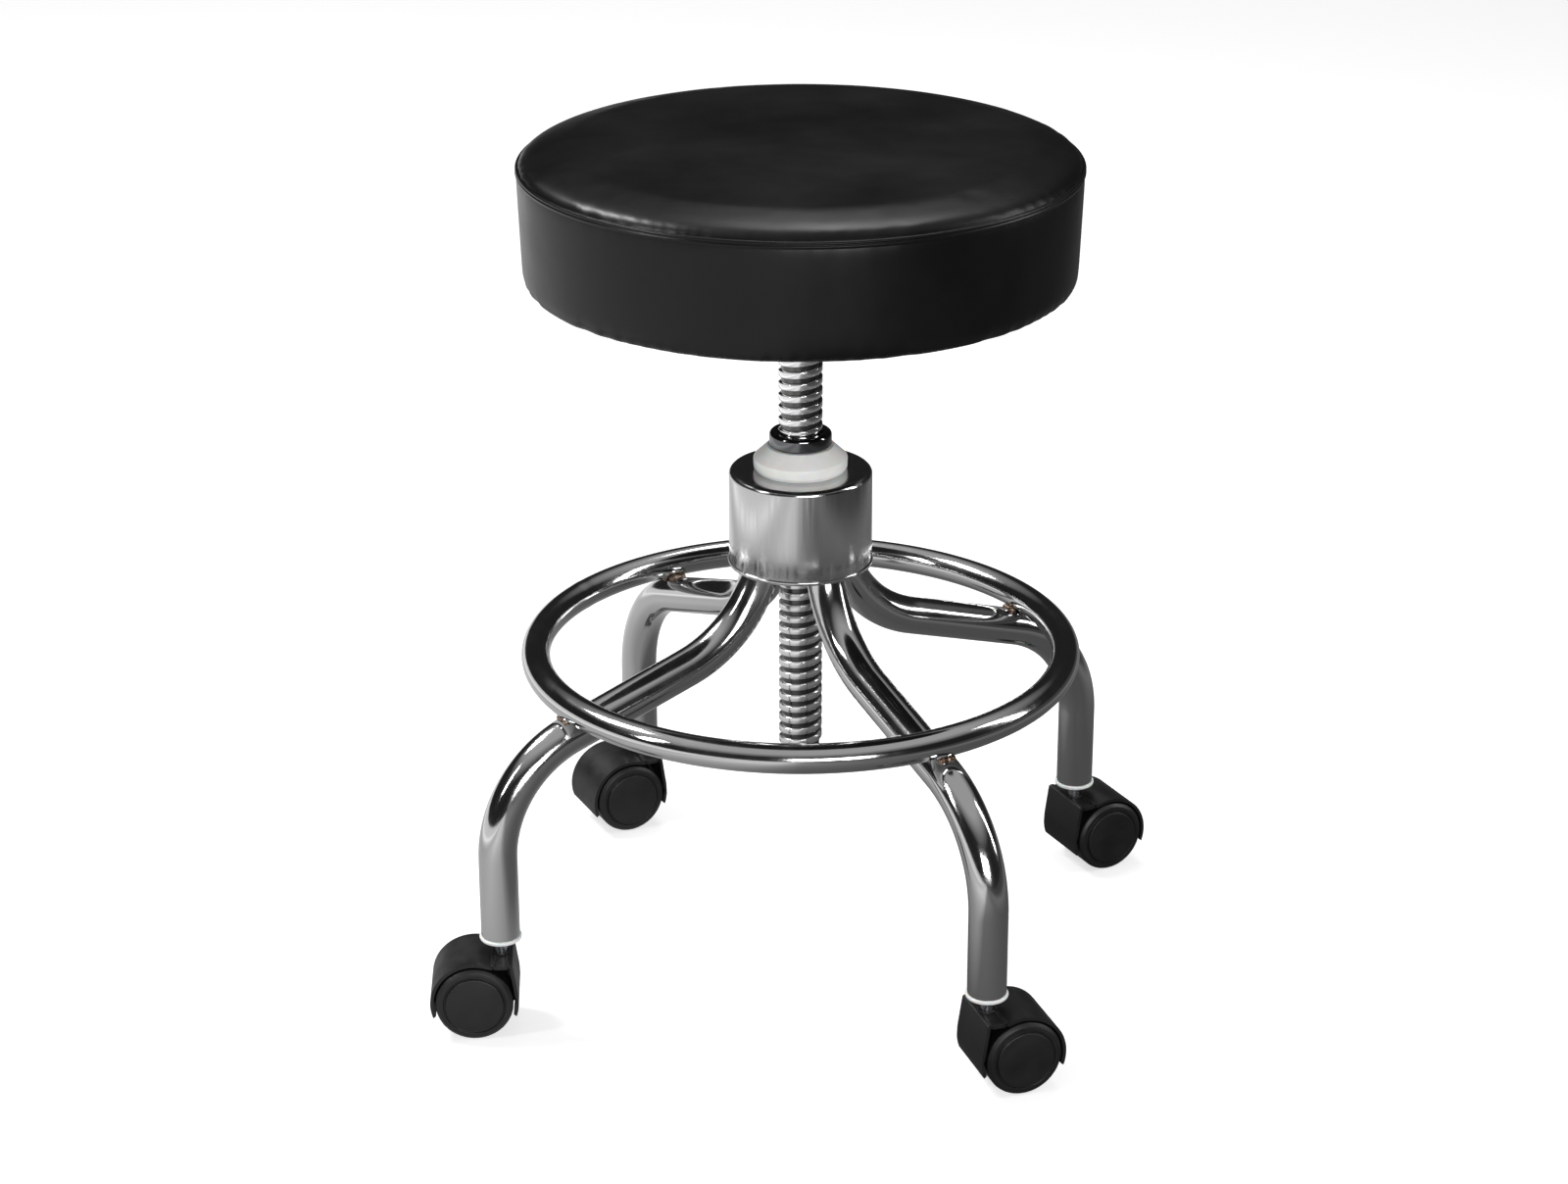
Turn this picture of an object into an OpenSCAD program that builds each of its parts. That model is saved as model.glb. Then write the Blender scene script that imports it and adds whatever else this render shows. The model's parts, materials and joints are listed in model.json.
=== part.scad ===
// Adjustable swivel stool: padded round seat on a steel lead screw, a hub with
// four bent legs and a foot ring, and four twin-wheel casters. Millimetres, +Z up,
// origin on the floor under the screw's axis.

/* [Seat] */
// Outside diameter of the padded seat
seat_d = 355.6; // [300:1:430]
// Height of the seat's underside above the floor, at rest
seat_bottom_z = 468.5; // [440:0.5:570]
// Height of the side band from the underside to the seam
seat_side_h = 75.5; // [60:0.5:92]
// Rise of the top panel from the seam to its crown
seat_crown_h = 14; // [8:0.5:18]
// How much narrower the side is at its lower edge, on the radius
seat_taper = 3; // [0:0.5:6]
// Thickness of the vinyl with its backing
vinyl_t = 1.4; // [1:0.1:2]
// Thickness of the plywood board
board_t = 12; // [9:1:18]
// Thickness of the cloth under the seat
dust_cover_t = 0.8; // [0.5:0.1:1.2]
// Diameter of the welt cord in the seam
welt_d = 3; // [2:0.5:4]
// Number of staples that hold the vinyl under the board
staple_count = 24; // [12:2:36]

/* [Seat plate] */
// Diameter of the steel plate between screw and seat
plate_d = 130; // [110:5:170]
// Thickness of that plate
plate_t = 4; // [3:0.5:6]
// Bolt circle diameter of the plate's four bolts
plate_pcd = 100; // [80:5:120]
// Shank diameter of the bolts
bolt_d = 6; // [5:1:8]

/* [Lead screw] */
// Diameter over the thread's crests
screw_d = 28.5; // [24:0.5:34]
// Diameter at the thread's root and of the plain end
screw_root_d = 25; // [20:0.5:28]
// Rise of the thread in one turn
pitch = 8; // [6:0.5:10]
// Height of the screw's lower end above the floor, at rest
screw_end_z = 135; // [110:1:150]
// Length of the plain end below the thread
screw_plain_l = 9; // [5:1:35]

/* [Hub] */
// Height of the base plate's underside above the floor
hub_base_z = 277.5; // [250:0.5:300]
// Height of the hub shell above its base plate
shell_h = 61; // [50:1:75]
// Wall of the hub shell
shell_wall = 2; // [1.5:0.5:3]
// Radius of the shell's top shoulder
shell_round = 4; // [2:0.5:6]
// Thickness of the base plate
base_plate_t = 2.5; // [2:0.5:4]
// How far the base plate stands out past the shell
base_plate_lip = 0.8; // [0.4:0.2:2]
// Width of the hub outside the legs' upper ends
hub_rim = 3.6; // [3:0.2:6]
// Outside diameter of the threaded nut and the bushing's spigot
nut_d = 44; // [40:1:56]
// Diameter of the bushing's white flange
flange_d = 61; // [56:1:70]
// Height of the flange's straight edge
flange_h = 8.2; // [6:0.2:10]
// Height of the cone on top of the flange
flange_cone_h = 8.3; // [6:0.2:10]
// Outside diameter of the loose collar
collar_d = 40.4; // [38:0.2:48]
// Height of the loose collar
collar_h = 9.5; // [8:0.5:14]

/* [Legs and foot ring] */
// Outside diameter of the leg tube
leg_tube_d = 25; // [22:0.5:30]
// Wall of the leg and ring tubes
tube_wall = 1.5; // [1:0.1:2.5]
// Distance from the axis to each foot
foot_r = 225.5; // [185:0.5:275]
// Fall of the leg's straight run below level, in degrees
leg_slope = 17.5; // [12:0.5:22]
// Centreline radius of the bend under the hub
bend_hub_r = 84; // [70:1:95]
// Centreline radius of the bend above the foot
bend_foot_r = 78; // [60:1:90]
// Height of the upper bend's centre above the base plate
bend_rise = 22.4; // [15:0.5:28]
// Gap between the screw's crests and the leg tubes
leg_screw_gap = 2.7; // [2:0.1:5]
// Centreline radius of the foot ring
ring_r = 174; // [150:1:200]
// Outside diameter of the foot ring's tube
ring_tube_d = 19; // [16:0.5:24]

/* [Casters] */
// Diameter of the caster wheels
wheel_d = 50; // [40:1:60]
// Width over both wheels
wheel_track = 50; // [44:1:60]
// Width of the hood over the wheels
hood_w = 43; // [36:1:43]
// Thickness of the hood's skin
hood_t = 2.2; // [1.5:0.1:3]
// Distance from the swivel axis to the axle
trail = 17.5; // [14:0.5:20]
// Half width of the web between the wheels
web_half = 5.5; // [4.5:0.5:7]
// Diameter of the stem's part inside the leg
stem_d = 11; // [10:0.5:12]
// Diameter of the stem's neck
neck_d = 8; // [7:0.5:9]
// Length of neck that shows between hood and leg
neck_gap = 9; // [5:0.5:12]
// Length of the stem inside its socket
stem_grip_l = 30; // [22:1:36]
// Diameter of the axle
axle_d = 6; // [5:0.5:8]
// Diameter of the socket's white flange
socket_flange_d = 27.5; // [26:0.5:33]
// Thickness of the socket's flange
socket_flange_t = 2.5; // [1.5:0.5:4]

/* [Fits] */
// Gap on the radius between the moving screw and what guides it
screw_gap = 0.3; // [0.3:0.05:0.6]
// Gap on the radius of a turning fit
run_gap = 0.05; // [0.02:0.01:0.1]
// Gap between parts that are assembled and stay still
rest_gap = 0.1; // [0.05:0.05:0.2]

/* [Hidden] */
$fn = 96;
SIDES = ["front", "right", "back", "left"];
LEG_ANGLE = [-90, 0, 90, 180];
TRAIL_ANGLE = [-12, -4, 175, 152];
COUNT = 4;

VINYL = "#1b1b1b";
CHROME = "#c4c6c8";
STEEL = "#9a9c9e";
NYLON = "#f2f2ee";
PLASTIC = "#202020";
WOOD = "#c9a36b";
FOAM = "#e6dfae";
CLOTH = "#2b2b2b";

// Hub, from what it has to hold
screw_r = screw_d / 2;
root_r = screw_root_d / 2;
leg_r = leg_tube_d / 2;
ring_tube_r = ring_tube_d / 2;
bore_r = screw_r + screw_gap;
leg_tilt = asin(bend_rise / bend_hub_r);
leg_half = leg_r / cos(leg_tilt);
leg_top_r = screw_r + leg_screw_gap + leg_half;
hub_r = leg_top_r + leg_half + hub_rim;
shell_base_z = hub_base_z + base_plate_t;
shell_top_z = shell_base_z + shell_h;
shell_cap_t = 2.5;
flange_r = flange_d / 2;
bushing_top_z = shell_top_z + flange_h + flange_cone_h;
bushing_spigot_l = 22;
nut_h = shell_h - bushing_spigot_l;
collar_z = bushing_top_z + run_gap;
collar_r = collar_d / 2;
edge = 2;

// Leg centreline in the plane of the leg: x is the distance from the axis. The knee
// is where the straight run meets the lower bend, and the leg is drawn from there.
run_dir = [cos(leg_slope), -sin(leg_slope)];
run_up = [sin(leg_slope), cos(leg_slope)];
hub_bend_x = leg_top_r + bend_hub_r * cos(leg_tilt);
knee_x = foot_r - bend_foot_r + bend_foot_r * run_up[0];
run_l = (knee_x - hub_bend_x + bend_hub_r * run_up[0]) / run_dir[0];
knee_z = hub_base_z + bend_rise - bend_hub_r * run_up[1] + run_l * run_dir[1];
foot_bend_z = knee_z - bend_foot_r * run_up[1];
bend_thin = 0.01;
bend_lap = 0.05;

// Casters and feet
wheel_r = wheel_d / 2;
hood_in_r = wheel_r + 1.3;
hood_r = hood_in_r + hood_t;
hood_top_z = wheel_r + hood_r;
boss_top_z = hood_top_z - 1;
boss_r = 7.5;
lip_z = wheel_r - 10;
neck_r = neck_d / 2;
neck_bottom_z = wheel_r + 10;
stem_r = stem_d / 2;
socket_bottom_z = boss_top_z + neck_gap;
leg_end_z = socket_bottom_z + socket_flange_t;
stem_shoulder_z = socket_bottom_z + run_gap;
stem_top_z = stem_shoulder_z + stem_grip_l;
socket_plug_l = stem_grip_l + 4;
axle_r = axle_d / 2;
wheel_side_gap = 0.5;
wheel_w = wheel_track / 2 - web_half - wheel_side_gap;

// Foot ring: it stands on the legs' straight runs or on their lower bends
weld_gap = 0.4;
weld_out = 5.5;
weld_l = 10;
ring_rise = leg_r + ring_tube_r + weld_gap;
ring_on_run_z = knee_z + (knee_x - ring_r) * tan(leg_slope)
    + ring_rise / cos(leg_slope);
ring_on_bend_z = foot_bend_z + sqrt(max(0,
    pow(bend_foot_r + ring_rise, 2) - pow(ring_r - foot_r + bend_foot_r, 2)));
ring_touch_x = ring_r - ring_rise * sin(leg_slope);
ring_z = ring_touch_x < knee_x ? ring_on_run_z : ring_on_bend_z;
ring_lean = ring_touch_x < knee_x ? 90 - leg_slope
    : atan2(ring_z - foot_bend_z, ring_r - foot_r + bend_foot_r);

// Seat stack, from the plate up
seat_r = seat_d / 2;
seat_low_r = seat_r - seat_taper;
plate_top_z = seat_bottom_z - dust_cover_t;
plate_bottom_z = plate_top_z - plate_t;
board_bottom_z = seat_bottom_z + vinyl_t;
board_top_z = board_bottom_z + board_t;
board_r = seat_low_r - vinyl_t - 3;
seam_z = seat_bottom_z + seat_side_h;
crown_z = seam_z + seat_crown_h;
shoulder_r = seat_r - 24;
wrap_in_r = board_r - 22;
dust_cover_r = wrap_in_r + 10;
bolt_r = bolt_d / 2;
bolt_hole_r = bolt_r + 0.3;
bolt_head_r = bolt_d;
bolt_head_h = 3.5;
board_nut_r = bolt_r + 1.5;
board_nut_flange_r = 9.5;
board_nut_flange_t = 1.6;
board_nut_l = board_t - 2;
weld_w = 3;
vent_r = 2;

// ---- shared shapes ----

module tube_section(outer_r, wall) {
    difference() {
        circle(r = outer_r);
        if (wall > 0) circle(r = outer_r - wall);
    }
}

// A bend in the leg's plane about a centre, from one angle over a sweep. Bending
// draws the wall a little thinner, so the straight stretches lap over it cleanly.
module leg_bend(centre, bend_r, from, sweep, wall) {
    translate([centre[0], 0, centre[1]])
        rotate([90, 0, 0])
            rotate_extrude(angle = sweep, start = from)
                translate([bend_r, 0])
                    tube_section(leg_r - bend_thin,
                        wall > 0 ? wall - 2 * bend_thin : 0);
}

module leg_straight(length, wall) {
    translate([0, 0, -bend_lap])
        linear_extrude(height = length + 2 * bend_lap)
            tube_section(leg_r, wall);
}

// One leg in its own plane; wall 0 gives the solid outline of the tube
module leg_shape(wall) {
    sweep = 90 - leg_slope;
    vertical_l = foot_bend_z - leg_end_z;
    translate([knee_x, 0, knee_z]) {
        difference() {
            rotate([0, leg_slope - 90, 0]) {
                leg_straight(run_l, wall);
                leg_bend([bend_hub_r, run_l], bend_hub_r, 180 - sweep, sweep, wall);
            }
            translate([-knee_x, -leg_tube_d, hub_base_z - knee_z])
                cube([knee_x, 2 * leg_tube_d, 2 * bend_rise]);
        }
        leg_bend(-bend_foot_r * run_up, bend_foot_r, 0, sweep, wall);
        translate([foot_r - knee_x, 0, leg_end_z - knee_z + bend_lap])
            leg_straight(vertical_l - bend_lap, wall);
    }
}

module around_axis() {
    for (a = LEG_ANGLE) rotate([0, 0, a]) children();
}

module at_foot(i) {
    rotate([0, 0, LEG_ANGLE[i]])
        translate([foot_r, 0, 0])
            rotate([0, 0, TRAIL_ANGLE[i] - LEG_ANGLE[i]])
                children();
}

module at_bolts() {
    for (k = [0 : COUNT - 1])
        rotate([0, 0, 45 + k * 360 / COUNT])
            translate([plate_pcd / 2, 0, 0])
                children();
}

// ---- hub ----

module hub_shell() {
    in_r = hub_r - shell_wall;
    color(CHROME)
        translate([0, 0, shell_base_z])
            difference() {
                rotate_extrude() {
                    square([hub_r, shell_h - shell_round]);
                    square([hub_r - shell_round, shell_h]);
                    translate([hub_r - shell_round, shell_h - shell_round])
                        circle(r = shell_round);
                }
                translate([0, 0, -1])
                    cylinder(r = in_r, h = shell_h - shell_cap_t + 1);
                cylinder(r = nut_d / 2 + rest_gap, h = shell_h + 1);
            }
}

module hub_base_plate() {
    color(CHROME)
        translate([0, 0, hub_base_z])
            difference() {
                cylinder(r = hub_r + base_plate_lip, h = base_plate_t);
                translate([0, 0, -1])
                    cylinder(r = bore_r + 1.5, h = base_plate_t + 2);
            }
}

module screw_nut() {
    color(STEEL)
        translate([0, 0, shell_base_z])
            difference() {
                cylinder(r = nut_d / 2, h = nut_h);
                translate([0, 0, -1])
                    cylinder(r = bore_r, h = nut_h + 2);
            }
}

module nylon_bushing() {
    color(NYLON)
        translate([0, 0, shell_top_z])
            difference() {
                union() {
                    translate([0, 0, -bushing_spigot_l])
                        cylinder(r = nut_d / 2, h = bushing_spigot_l);
                    cylinder(r1 = flange_r - 2, r2 = flange_r, h = 3);
                    translate([0, 0, 3])
                        cylinder(r = flange_r, h = flange_h - 3);
                    translate([0, 0, flange_h])
                        cylinder(r1 = flange_r, r2 = collar_r + 1, h = flange_cone_h);
                }
                translate([0, 0, -bushing_spigot_l - 1])
                    cylinder(r = bore_r, h = bushing_top_z);
            }
}

// Loose collar that lies on the bushing and turns with the screw
module collar_ring() {
    color(CHROME)
        translate([0, 0, collar_z])
            difference() {
                union() {
                    cylinder(r = collar_r, h = collar_h - edge);
                    translate([0, 0, collar_h - edge])
                        cylinder(r1 = collar_r, r2 = collar_r - edge, h = edge);
                }
                translate([0, 0, -1])
                    cylinder(r = bore_r, h = collar_h + 2);
            }
}

// ---- legs and foot ring ----

module leg(i) {
    color(CHROME)
        rotate([0, 0, LEG_ANGLE[i]])
            leg_shape(tube_wall);
}

module foot_ring() {
    color(CHROME)
        difference() {
            translate([0, 0, ring_z])
                rotate_extrude()
                    translate([ring_r, 0])
                        tube_section(ring_tube_r, tube_wall);
            // vent for plating, on the hidden underside between two legs
            rotate([0, 0, 45])
                translate([ring_r, 0, ring_z - ring_tube_d])
                    cylinder(r = vent_r, h = ring_tube_d);
        }
}

// A bead each side of the place where the ring stands on a leg, drawn with its
// origin there, z along the line from the leg's centre to the ring's
module ring_welds() {
    color("#8a7a68")
        around_axis()
            difference() {
                translate([ring_r, 0, ring_z])
                    rotate([0, 90 - ring_lean, 0])
                        translate([0, 0, -ring_tube_r - weld_gap / 2])
                            difference() {
                                for (s = [-1, 1])
                                    translate([s * weld_out, 0, 0])
                                        rotate([90, 0, 0])
                                            cylinder(r = weld_w, h = weld_l,
                                                center = true);
                                translate([0, 0, -leg_r - weld_gap / 2])
                                    rotate([0, 90, 0])
                                        cylinder(r = leg_r, h = 4 * weld_l,
                                            center = true);
                            }
                translate([0, 0, ring_z])
                    rotate_extrude()
                        translate([ring_r, 0])
                            circle(r = ring_tube_r);
            }
}

// A bead round each leg's upper end, under the base plate
module leg_welds() {
    color("#8a8a88")
        around_axis()
            difference() {
                translate([leg_top_r, 0, hub_base_z - 2])
                    cylinder(r = leg_half + 1.6, h = 2);
                translate([0, 0, hub_base_z - 3])
                    cylinder(r = bore_r + 1, h = 4);
                leg_shape(0);
            }
}

module stem_socket(i) {
    color(NYLON)
        rotate([0, 0, LEG_ANGLE[i]])
            translate([foot_r, 0, socket_bottom_z])
                difference() {
                    union() {
                        cylinder(r = socket_flange_d / 2, h = socket_flange_t);
                        translate([0, 0, socket_flange_t])
                            cylinder(r = leg_r - tube_wall - rest_gap / 2,
                                h = socket_plug_l);
                    }
                    translate([0, 0, -1])
                        cylinder(r = stem_r + run_gap, h = stem_grip_l + 3);
                }
}

// ---- lead screw ----

// Thread of flat crests: z offsets in one pitch and radii of the four corners
THREAD = [[0, root_r], [0.12 * pitch, screw_r], [0.62 * pitch, screw_r],
    [0.74 * pitch, root_r]];
STEPS = 18;
thread_bottom_z = screw_end_z + screw_plain_l;
screw_top_z = plate_bottom_z;
thread_turns = floor((screw_top_z - thread_bottom_z - 2) / pitch) - 1;
LAST = thread_turns * STEPS;

function round_point(r, m, z) = [r * cos(360 * m / STEPS), r * sin(360 * m / STEPS), z];
function thread_point(m, j) =
    round_point(THREAD[j][1], m, thread_bottom_z + pitch * m / STEPS + THREAD[j][0]);
// Index of corner j of step m, then of the end rings' points
function corner(m, j) = 4 * m + j;
function low_ring(m) = 4 * (LAST + 1) + (m % STEPS);
function high_ring(m) = low_ring(m) + STEPS;

// The whole screw is one body: a helical ridge, its root and its plain ends
module lead_screw() {
    points = concat(
        [for (m = [0 : LAST]) for (j = [0 : 3]) thread_point(m, j)],
        [for (m = [0 : STEPS - 1]) round_point(root_r, m, screw_end_z)],
        [for (m = [0 : STEPS - 1]) round_point(root_r, m, screw_top_z)]);
    ridge = [for (m = [0 : LAST - 1]) for (j = [0 : 2]) for (half = [0 : 1])
        half == 0 ? [corner(m, j), corner(m, j + 1), corner(m + 1, j)]
            : [corner(m, j + 1), corner(m + 1, j + 1), corner(m + 1, j)]];
    root = [for (m = [0 : LAST - STEPS - 1]) for (half = [0 : 1])
        half == 0 ? [corner(m, 3), corner(m + STEPS, 0), corner(m + 1, 3)]
            : [corner(m + STEPS, 0), corner(m + STEPS + 1, 0), corner(m + 1, 3)]];
    low_wall = [for (m = [0 : STEPS - 2]) for (half = [0 : 1])
        half == 0 ? [low_ring(m), corner(m, 0), low_ring(m + 1)]
            : [corner(m, 0), corner(m + 1, 0), low_ring(m + 1)]];
    low_edge = [corner(STEPS - 1, 0), corner(STEPS, 0), corner(0, 3), corner(0, 0),
        low_ring(0)];
    low_seam = [for (k = [0 : 3]) [low_ring(STEPS - 1), low_edge[k], low_edge[k + 1]]];
    first = LAST - STEPS;
    high_wall = [for (m = [first + 1 : LAST - 1]) for (half = [0 : 1])
        half == 0 ? [corner(m, 3), high_ring(m - first), corner(m + 1, 3)]
            : [high_ring(m - first), high_ring(m + 1 - first), corner(m + 1, 3)]];
    high_edge = [corner(first, 3), corner(LAST, 0), corner(LAST, 3), high_ring(0),
        high_ring(1)];
    high_seam = [for (k = [0 : 3])
        [corner(first + 1, 3), high_edge[k], high_edge[k + 1]]];
    thread_ends = [[for (j = [3 : -1 : 0]) corner(0, j)],
        [for (j = [0 : 3]) corner(LAST, j)]];
    caps = [[for (m = [0 : STEPS - 1]) low_ring(m)],
        [for (m = [STEPS - 1 : -1 : 0]) high_ring(m)]];
    color(CHROME)
        polyhedron(points = points, faces = concat(ridge, root, low_wall, low_seam,
            high_wall, high_seam, thread_ends, caps), convexity = 10);
}

module screw_weld() {
    color("#8a8a88")
        translate([0, 0, plate_bottom_z - weld_w])
            difference() {
                cylinder(r1 = root_r + 1, r2 = root_r + weld_w, h = weld_w);
                translate([0, 0, -1])
                    cylinder(r = root_r, h = weld_w + 2);
            }
}

// ---- seat ----

module seat_plate() {
    color(STEEL)
        translate([0, 0, plate_bottom_z])
            difference() {
                cylinder(d = plate_d, h = plate_t);
                at_bolts()
                    translate([0, 0, -1])
                        cylinder(r = bolt_hole_r, h = plate_t + 2);
            }
}

module plate_bolts() {
    color(STEEL)
        at_bolts()
            translate([0, 0, plate_bottom_z]) {
                difference() {
                    translate([0, 0, -bolt_head_h])
                        cylinder(r = bolt_head_r, h = bolt_head_h);
                    translate([0, 0, -bolt_head_h - 1])
                        cylinder(r = bolt_r * 0.8, h = 3, $fn = 6);
                }
                cylinder(r = bolt_r, h = board_top_z - plate_bottom_z);
            }
}

module board_nuts() {
    color(STEEL)
        at_bolts()
            translate([0, 0, board_top_z])
                difference() {
                    union() {
                        cylinder(r = board_nut_flange_r, h = board_nut_flange_t);
                        translate([0, 0, -board_nut_l])
                            cylinder(r = board_nut_r, h = board_nut_l);
                    }
                    translate([0, 0, -board_nut_l - 1])
                        cylinder(r = bolt_r + run_gap, h = board_nut_l + 4);
                }
}

module seat_board() {
    edge = 4;
    color(WOOD)
        translate([0, 0, board_bottom_z])
            difference() {
                rotate_extrude()
                    polygon([[0, 0], [board_r - edge, 0], [board_r, edge],
                        [board_r, board_t], [0, board_t]]);
                at_bolts()
                    translate([0, 0, -1])
                        cylinder(r = board_nut_r + rest_gap, h = board_t + 2);
            }
}

// Half outline of the cushion at a distance inside the vinyl's outer face
function cushion_outline(inset) = concat(
    [[0, crown_z - inset]],
    [for (a = [90 : -15 : 15])
        [shoulder_r - inset + (seat_r - shoulder_r) * cos(a),
            seam_z + (seat_crown_h - 2 - inset) * sin(a)]],
    [[seat_r - inset, seam_z]]);

module seat_top_panel() {
    color(VINYL)
        rotate_extrude()
            polygon(concat(cushion_outline(0),
                [for (k = [len(cushion_outline(0)) - 1 : -1 : 0])
                    cushion_outline(vinyl_t)[k]]));
}

module seat_side_band() {
    color(VINYL)
        rotate_extrude()
            difference() {
                polygon([[wrap_in_r, seat_bottom_z], [seat_low_r - 8, seat_bottom_z],
                    [seat_low_r - 2.5, seat_bottom_z + 2.5],
                    [seat_low_r, seat_bottom_z + 8], [seat_r, seam_z - welt_d],
                    [wrap_in_r, seam_z - welt_d]]);
                polygon([[wrap_in_r - 1, board_bottom_z],
                    [seat_low_r - 8, board_bottom_z],
                    [seat_low_r - 2.5 - vinyl_t, seat_bottom_z + 2.5 + vinyl_t],
                    [seat_low_r - vinyl_t, seat_bottom_z + 8],
                    [seat_r - vinyl_t, seam_z - welt_d + 1],
                    [wrap_in_r - 1, seam_z - welt_d + 1]]);
            }
}

module seat_welt() {
    color(VINYL)
        translate([0, 0, seam_z - welt_d / 2])
            rotate_extrude()
                translate([seat_r - welt_d / 2, 0])
                    circle(r = welt_d / 2);
}

module seat_foam() {
    foam_r = seat_low_r - vinyl_t - rest_gap;
    color(FOAM)
        difference() {
            rotate_extrude()
                polygon(concat(
                    [[0, board_top_z + rest_gap], [foam_r, board_top_z + rest_gap],
                        [seat_r - welt_d - rest_gap, seam_z - welt_d],
                        [seat_r - welt_d - rest_gap, seam_z]],
                    [for (k = [len(cushion_outline(0)) - 2 : -1 : 0])
                        cushion_outline(vinyl_t + rest_gap)[k]]));
            at_bolts()
                translate([0, 0, board_top_z])
                    cylinder(r = board_nut_flange_r + rest_gap,
                        h = board_nut_flange_t + rest_gap);
        }
}

module dust_cover() {
    color(CLOTH)
        translate([0, 0, plate_top_z])
            difference() {
                cylinder(r = dust_cover_r, h = dust_cover_t);
                at_bolts()
                    translate([0, 0, -1])
                        cylinder(r = bolt_hole_r, h = dust_cover_t + 2);
            }
}

// Wire staples through the dust cover's edge, lying on its face
module cover_staples() {
    wire = 1;
    color(STEEL)
        for (k = [0 : staple_count - 1])
            rotate([0, 0, k * 360 / staple_count])
                translate([dust_cover_r - 5, 0, plate_top_z - wire / 2])
                    cube([wire, 11, wire], center = true);
}

// ---- casters: at the foot, x towards the wheels, y along the axle ----

module caster_side(shape_w) {
    rotate([90, 0, 0])
        linear_extrude(height = shape_w, center = true)
            children();
}

module caster_hood(i) {
    lip_x = hood_r + 1;
    color(PLASTIC)
        at_foot(i)
            difference() {
                caster_side(hood_w) {
                    translate([trail, wheel_r])
                        circle(r = hood_r);
                    polygon([[trail - hood_r, lip_z], [trail + hood_r, lip_z],
                        [trail + hood_r, wheel_r], [trail, boss_top_z],
                        [-boss_r, boss_top_z], [trail - hood_r, wheel_r]]);
                }
                for (s = [-1, 1])
                    translate([trail, s * (web_half + hood_w), wheel_r])
                        rotate([90, 0, 0])
                            cylinder(r = hood_in_r, h = 2 * hood_w, center = true);
                caster_side(2 * hood_w)
                    polygon([[trail - lip_x, -hood_r], [trail - lip_x, lip_z - 1],
                        [trail - hood_in_r + 2, lip_z + 3],
                        [trail + hood_in_r - 2, lip_z + 3],
                        [trail + lip_x, lip_z - 1], [trail + lip_x, -hood_r]]);
                translate([0, 0, neck_bottom_z])
                    cylinder(r = neck_r, h = hood_top_z);
                translate([trail, 0, wheel_r])
                    rotate([90, 0, 0])
                        cylinder(r = axle_r, h = 2 * hood_w, center = true);
            }
}

module caster_stem(i) {
    grip_r = stem_r + run_gap / 2;
    color(STEEL)
        at_foot(i) {
            translate([0, 0, neck_bottom_z])
                cylinder(r = neck_r, h = stem_shoulder_z - neck_bottom_z);
            translate([0, 0, stem_shoulder_z])
                difference() {
                    cylinder(r = stem_r, h = stem_grip_l);
                    // groove that holds the split grip ring
                    translate([0, 0, stem_grip_l - 8])
                        difference() {
                            cylinder(r = grip_r + 1, h = 3);
                            translate([0, 0, -1])
                                cylinder(r = stem_r - 1, h = 5);
                        }
                }
            translate([0, 0, stem_top_z - 8])
                cylinder(r = grip_r, h = 3);
        }
}

module caster_axle(i) {
    color(STEEL)
        at_foot(i)
            translate([trail, 0, wheel_r])
                rotate([90, 0, 0])
                    cylinder(r = axle_r, h = wheel_track - 14, center = true);
}

// Cup-shaped wheel; its face has a raised disc, its bore is blind
module wheel(i, side) {
    boss_out_r = axle_r + 4;
    rim_in_r = wheel_r - 3.5;
    face_r = wheel_r * 0.74;
    color(PLASTIC)
        at_foot(i)
            translate([trail, side * (web_half + wheel_side_gap), wheel_r])
                rotate([-90 * side, 0, 0])
                    rotate_extrude()
                        polygon([[axle_r + run_gap, 0], [boss_out_r, 0],
                            [boss_out_r, wheel_w - 5], [rim_in_r, wheel_w - 5],
                            [rim_in_r, 0], [wheel_r - 0.8, 0], [wheel_r, 0.8],
                            [wheel_r, wheel_w - 3.6], [wheel_r - 0.5, wheel_w - 2.6],
                            [wheel_r - 1.6, wheel_w - 1.8], [face_r + 2, wheel_w - 1.6],
                            [face_r, wheel_w], [0, wheel_w], [0, wheel_w - 6.5],
                            [axle_r + run_gap, wheel_w - 6.5]]);
}

hub_shell();
hub_base_plate();
screw_nut();
nylon_bushing();
foot_ring();
ring_welds();
leg_welds();
collar_ring();
lead_screw();
screw_weld();
seat_plate();
plate_bolts();
board_nuts();
seat_board();
seat_foam();
seat_top_panel();
seat_side_band();
seat_welt();
dust_cover();
cover_staples();
for (i = [0 : COUNT - 1]) {
    leg(i);
    stem_socket(i);
    caster_hood(i);
    caster_stem(i);
    caster_axle(i);
    wheel(i, -1);
    wheel(i, 1);
}
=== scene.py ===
import json
import math

import bpy
from mathutils import Matrix, Vector


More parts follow.
